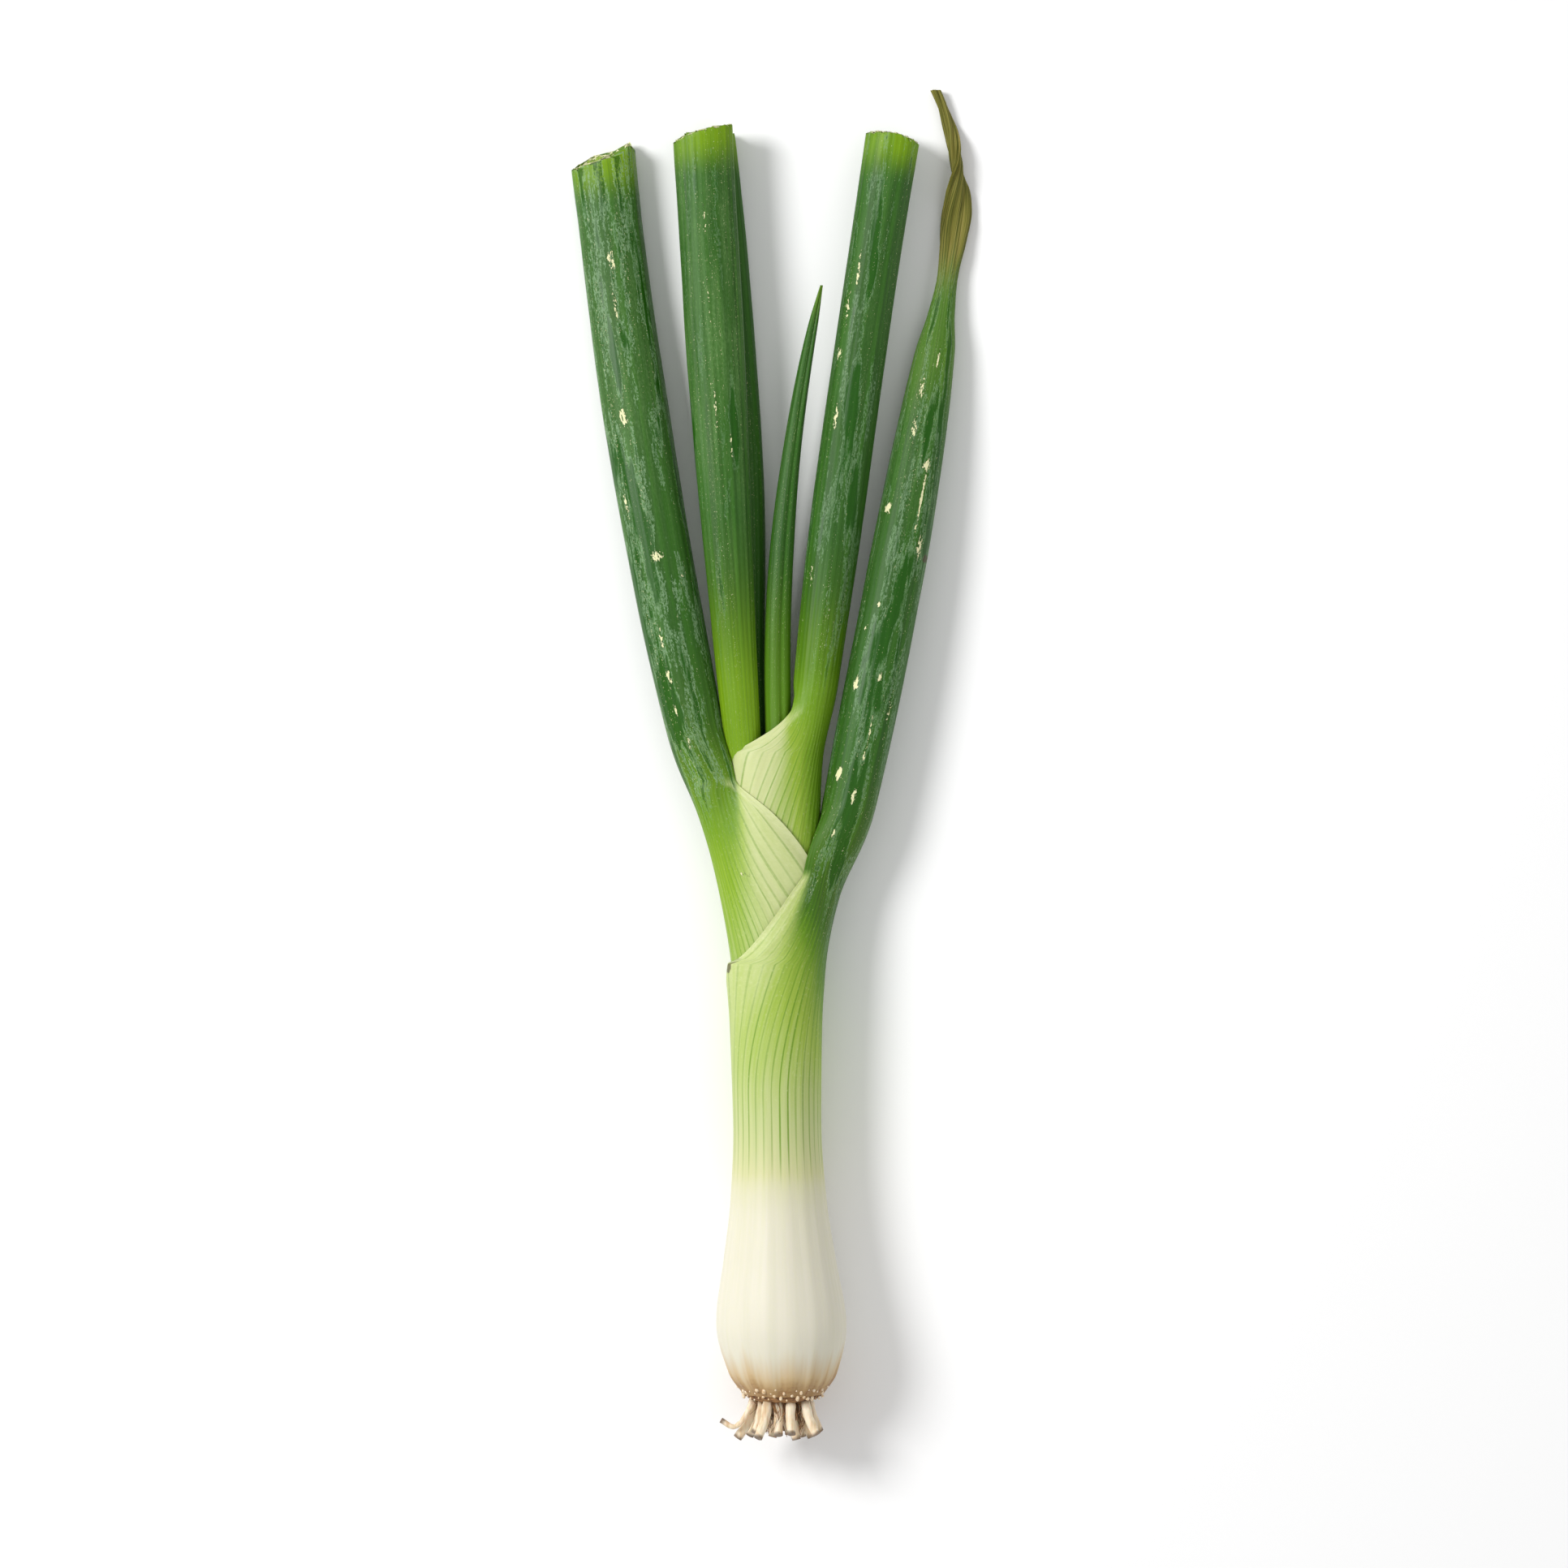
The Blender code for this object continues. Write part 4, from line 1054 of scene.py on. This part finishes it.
class OnionColours(bpy.types.PropertyGroup):
    """Colours of the tissue, the roots and the floor."""

    bulb: tone("Bulb", "White flesh of the bulb", srgb(225, 219, 203))
    sheath: tone("Sheath", "Pale sheath below the blades", srgb(190, 199, 138))
    blade: tone("Blade", "Green of a blade", srgb(42, 92, 18))
    stripe: tone("Stripe", "Lighter stripes along a blade", srgb(62, 112, 30))
    deep: tone("Deep green", "Darker bands and the edges of scars", srgb(20, 60, 8))
    young_green: tone("Young green", "Yellow-green at a blade's base and cut end", srgb(122, 160, 6))
    vein: tone("Vein", "Veins in the sheath", srgb(106, 144, 34))
    membrane: tone("Membrane", "Thin margin of a sheath", srgb(208, 214, 160))
    bloom: tone("Bloom", "Wax on a blade", srgb(108, 144, 84))
    rubbed: tone("Rubbed", "Green where the wax is rubbed off", srgb(26, 80, 2))
    scar: tone("Scar", "Cream scars and specks", srgb(226, 224, 176))
    stain: tone("Stain", "Light stain at the foot of the bulb", srgb(196, 160, 100))
    soil: tone("Soil", "Dark soil in the furrows", srgb(128, 80, 40))
    root: tone("Root", "Dry root skin", srgb(228, 207, 173))
    floor: tone("Floor", "Pale floor", srgb(252, 252, 252))


def settings():
    scene = bpy.context.scene
    return scene.onion_sizes, scene.onion_colours


def add_leaf(leaf):
    sizes, colours = settings()
    material = leaf_material(leaf, colours, sizes)
    add_piece(leaf.name, build_leaf(leaf, sizes), material, [leaf.node], leaf.node)


class ONION_OT_sheathed_leaves(bpy.types.Operator):
    """Builds the outer, second and third leaves with their sheaths and blades"""

    bl_idname = "onion.sheathed_leaves"
    bl_label = "Sheathed leaves"

    def execute(self, context):
        for leaf in (OUTER, SECOND, THIRD):
            add_leaf(leaf)
        return {"FINISHED"}


class ONION_OT_inner_leaves(bpy.types.Operator):
    """Builds the fourth, back and young leaves"""

    bl_idname = "onion.inner_leaves"
    bl_label = "Inner leaves"

    def execute(self, context):
        for leaf in (FOURTH, BACK, YOUNG):
            add_leaf(leaf)
        return {"FINISHED"}


class ONION_OT_basal_plate(bpy.types.Operator):
    """Builds the basal plate with its crust and the pale nubs round the foot of the bulb"""

    bl_idname = "onion.basal_plate"
    bl_label = "Basal plate and nubs"

    def execute(self, context):
        sizes, _ = settings()
        x, z = bundle_centre(0.0)
        bm = bmesh.new()
        place_layer = bm.verts.layers.int.new("place")
        ring, verts = ring_start(bm, PLATE_FACETS, place_layer)
        profile = [
            (2.0, -0.02), (PLATE_RADIUS - 0.2, -0.02), (PLATE_RADIUS + 0.1, -0.1),
            (PLATE_RADIUS + 0.02, -0.3), (PLATE_RADIUS - 0.5, -0.7),
            (PLATE_RADIUS - 1.5, -1.1), (PLATE_RADIUS - 2.4, -1.3),
            (PLATE_RADIUS - 3.8, -1.4), (PLATE_RADIUS - 5.4, -1.3), (0.8, -1.4),
        ]
        first = ring
        for number, (radius, level) in enumerate(profile):
            if number:
                ring, verts = extrude_ring(bm, ring)
            for vert in verts:
                angle = math.tau * vert[place_layer] / PLATE_FACETS
                spread = 2.4 * radius / 3
                lump = noise.noise(Vector((spread * math.cos(angle), spread * math.sin(angle), number)))
                reach = radius * (1.0 + 0.02 * lump)
                rise = level + (0.25 * lump if number > 2 else 0.0)
                vert.co = Vector((x + reach * math.cos(angle), SHIFT_Y + rise, z + reach * math.sin(angle))) * MM
        for end in (first, ring):
            bmesh.ops.holes_fill(bm, edges=end, sides=0)
        bmesh.ops.recalc_face_normals(bm, faces=bm.faces)
        mesh = finish_mesh(bm, "Basal_plate_disc", tidy=("place",))
        crust = crust_material("Plate_crust", srgb(176, 128, 78), srgb(92, 56, 28), 500.0)
        add_piece("Basal_plate_disc", mesh, crust, ["basal_plate"], "basal_plate")
        mesh = build_nubs(sizes, x, z)
        skin = crust_material("Nub_skin", srgb(248, 234, 208), srgb(214, 180, 134), 1500.0)
        add_piece("Rim_nubs", mesh, skin, [], "basal_plate")
        return {"FINISHED"}


def build_nubs(sizes, x, z):
    """Small pale beads crowded round the foot of the bulb, where new roots would break out."""
    bm = bmesh.new()
    draw = random.Random(7)
    for number in range(sizes.nub_count):
        angle = math.tau * (number + draw.uniform(-0.3, 0.3)) / sizes.nub_count
        row = number % 2
        height = SHIFT_Y + draw.uniform(-0.5, 0.7) + (1.1 if row else -0.2)
        base = bundle_radii(max(height - SHIFT_Y, 0.0))[0]
        size = draw.uniform(0.16, 0.44)
        made = bmesh.ops.create_icosphere(bm, subdivisions=2, radius=size * MM)["verts"]
        long = draw.uniform(0.9, 1.6)
        centre = Vector((x + (base - 0.1) * math.cos(angle), height, z + (base - 0.1) * math.sin(angle)))
        for vert in made:
            bump = 1.0 + 0.25 * noise.noise(vert.co / MM * 1.8 + Vector((number, 0.0, 0.0)))
            vert.co = Vector((vert.co.x * bump, vert.co.y * bump * long, vert.co.z * bump)) + centre * MM
    return finish_mesh(bm, "Rim_nubs")


class ONION_OT_roots(bpy.types.Operator):
    """Builds the cut root stubs and the fine fibres between them"""

    bl_idname = "onion.roots"
    bl_label = "Roots"

    def execute(self, context):
        sizes, colours = settings()
        skin = root_material(colours)
        for route in root_routes():
            mesh = build_stub(*route)
            add_piece(mesh.name, mesh, skin, [f"root_{route[0] + 1:02d}"], "roots")
        mesh = build_stray_root()
        add_piece(mesh.name, mesh, skin, [f"root_{ROOT_COUNT + 1:02d}"], "roots")
        if sizes.fibre_count:
            hair = crust_material("Fibre_hair", srgb(176, 132, 84), srgb(92, 56, 28), 260.0)
            add_piece("Root_fibres", build_fibres(sizes), hair, [], "roots")
        return {"FINISHED"}


def build_fibres(sizes):
    """Thin brown hairs that hang between the roots."""
    bm = bmesh.new()
    draw = random.Random(11)
    x, z = bundle_centre(0.0)
    for _ in range(sizes.fibre_count):
        out = 5.4 * math.sqrt(draw.random())
        angle = draw.uniform(0.0, math.tau)
        length = draw.uniform(2.5, 7.4)
        drift = Vector((draw.uniform(-1.2, 1.2), 0.0, draw.uniform(-1.2, 1.2)))
        start = Vector((x + out * math.cos(angle), SHIFT_Y - 1.0, z + out * math.sin(angle)))
        points = []
        for i in range(FIBRE_STEPS + 1):
            t = i / FIBRE_STEPS
            wave = 0.35 * math.sin(5.0 * t + out)
            points.append(start + Vector((wave, -length * t, wave * 0.5)) + drift * t * t)
        thick = draw.uniform(0.07, 0.16)
        tube(bm, points, [thick * (1.0 - 0.6 * i / FIBRE_STEPS) for i in range(FIBRE_STEPS + 1)], 5)
    bmesh.ops.recalc_face_normals(bm, faces=bm.faces)
    return finish_mesh(bm, "Root_fibres", tidy=("place",))


class ONION_OT_stage(bpy.types.Operator):
    """Lays the pale floor, the soft lights and the camera above the onion"""

    bl_idname = "onion.stage"
    bl_label = "Floor, lights and camera"

    def execute(self, context):
        _, colours = settings()
        bm = bmesh.new()
        bmesh.ops.create_grid(bm, x_segments=1, y_segments=1, size=FLOOR_HALF_WIDTH)
        floor = bpy.data.objects.new("Floor", finish_mesh(bm, "Floor"))
        context.scene.collection.objects.link(floor)
        paper = Shade("Floor_paper")
        place = paper.node("ShaderNodeTexCoord").outputs["Object"]
        grain = paper.noise(place, 900.0, 2.0, 0.5)
        tint = paper.mix(paper.times(grain, 0.03), tuple(colours.floor), srgb(225, 225, 225))
        floor.data.materials.append(paper.finish(tint, 0.9))

        world = context.scene.world or bpy.data.worlds.new("World")
        context.scene.world = world
        world.use_nodes = True
        sky = world.node_tree.nodes["Background"]
        sky.inputs["Color"].default_value = (1.0, 1.0, 1.0, 1.0)
        sky.inputs["Strength"].default_value = 0.58

        add_light("Key_light", (-0.62, 0.3, 0.72), 0.36, 7.3)
        add_light("Fill_light", (0.3, -0.4, 1.2), 0.9, 1.2)

        camera = bpy.data.cameras.new("Camera")
        camera.lens = 130.0
        camera.sensor_width = 36.0
        view = bpy.data.objects.new("Camera", camera)
        view.location = (VIEW_X, VIEW_Y, VIEW_WIDTH * camera.lens / camera.sensor_width + VIEW_LEVEL)
        context.scene.collection.objects.link(view)
        context.scene.camera = view
        context.scene.view_settings.view_transform = "Standard"
        return {"FINISHED"}


def add_light(name, place, size, power):
    light = bpy.data.lights.new(name, "AREA")
    light.shape = "DISK"
    light.size = size
    light.energy = power
    lamp = bpy.data.objects.new(name, light)
    lamp.location = place
    lamp.rotation_euler = (-Vector(place)).to_track_quat("-Z", "Y").to_euler()
    bpy.context.scene.collection.objects.link(lamp)


class ONION_PT_panel(bpy.types.Panel):
    """Lists the steps that build the spring onion"""

    bl_idname = "ONION_PT_panel"
    bl_label = "Spring onion"
    bl_space_type = "VIEW_3D"
    bl_region_type = "UI"
    bl_category = "Spring onion"

    def draw(self, context):
        layout = self.layout
        for operator in OPERATORS:
            layout.operator(operator.bl_idname)
        for group in (context.scene.onion_sizes, context.scene.onion_colours):
            box = layout.box()
            for name in group.__annotations__:
                box.prop(group, name)


OPERATORS = (
    ONION_OT_stage,
    ONION_OT_sheathed_leaves,
    ONION_OT_inner_leaves,
    ONION_OT_basal_plate,
    ONION_OT_roots,
)
CLASSES = (OnionSizes, OnionColours, *OPERATORS, ONION_PT_panel)


def register():
    for cls in CLASSES:
        bpy.utils.register_class(cls)
    bpy.types.Scene.onion_sizes = PointerProperty(type=OnionSizes)
    bpy.types.Scene.onion_colours = PointerProperty(type=OnionColours)


def unregister():
    del bpy.types.Scene.onion_colours
    del bpy.types.Scene.onion_sizes
    for cls in reversed(CLASSES):
        bpy.utils.unregister_class(cls)


def main():
    register()
    bpy.ops.onion.stage()
    bpy.ops.onion.sheathed_leaves()
    bpy.ops.onion.inner_leaves()
    bpy.ops.onion.basal_plate()
    bpy.ops.onion.roots()


if __name__ == "__main__":
    main()
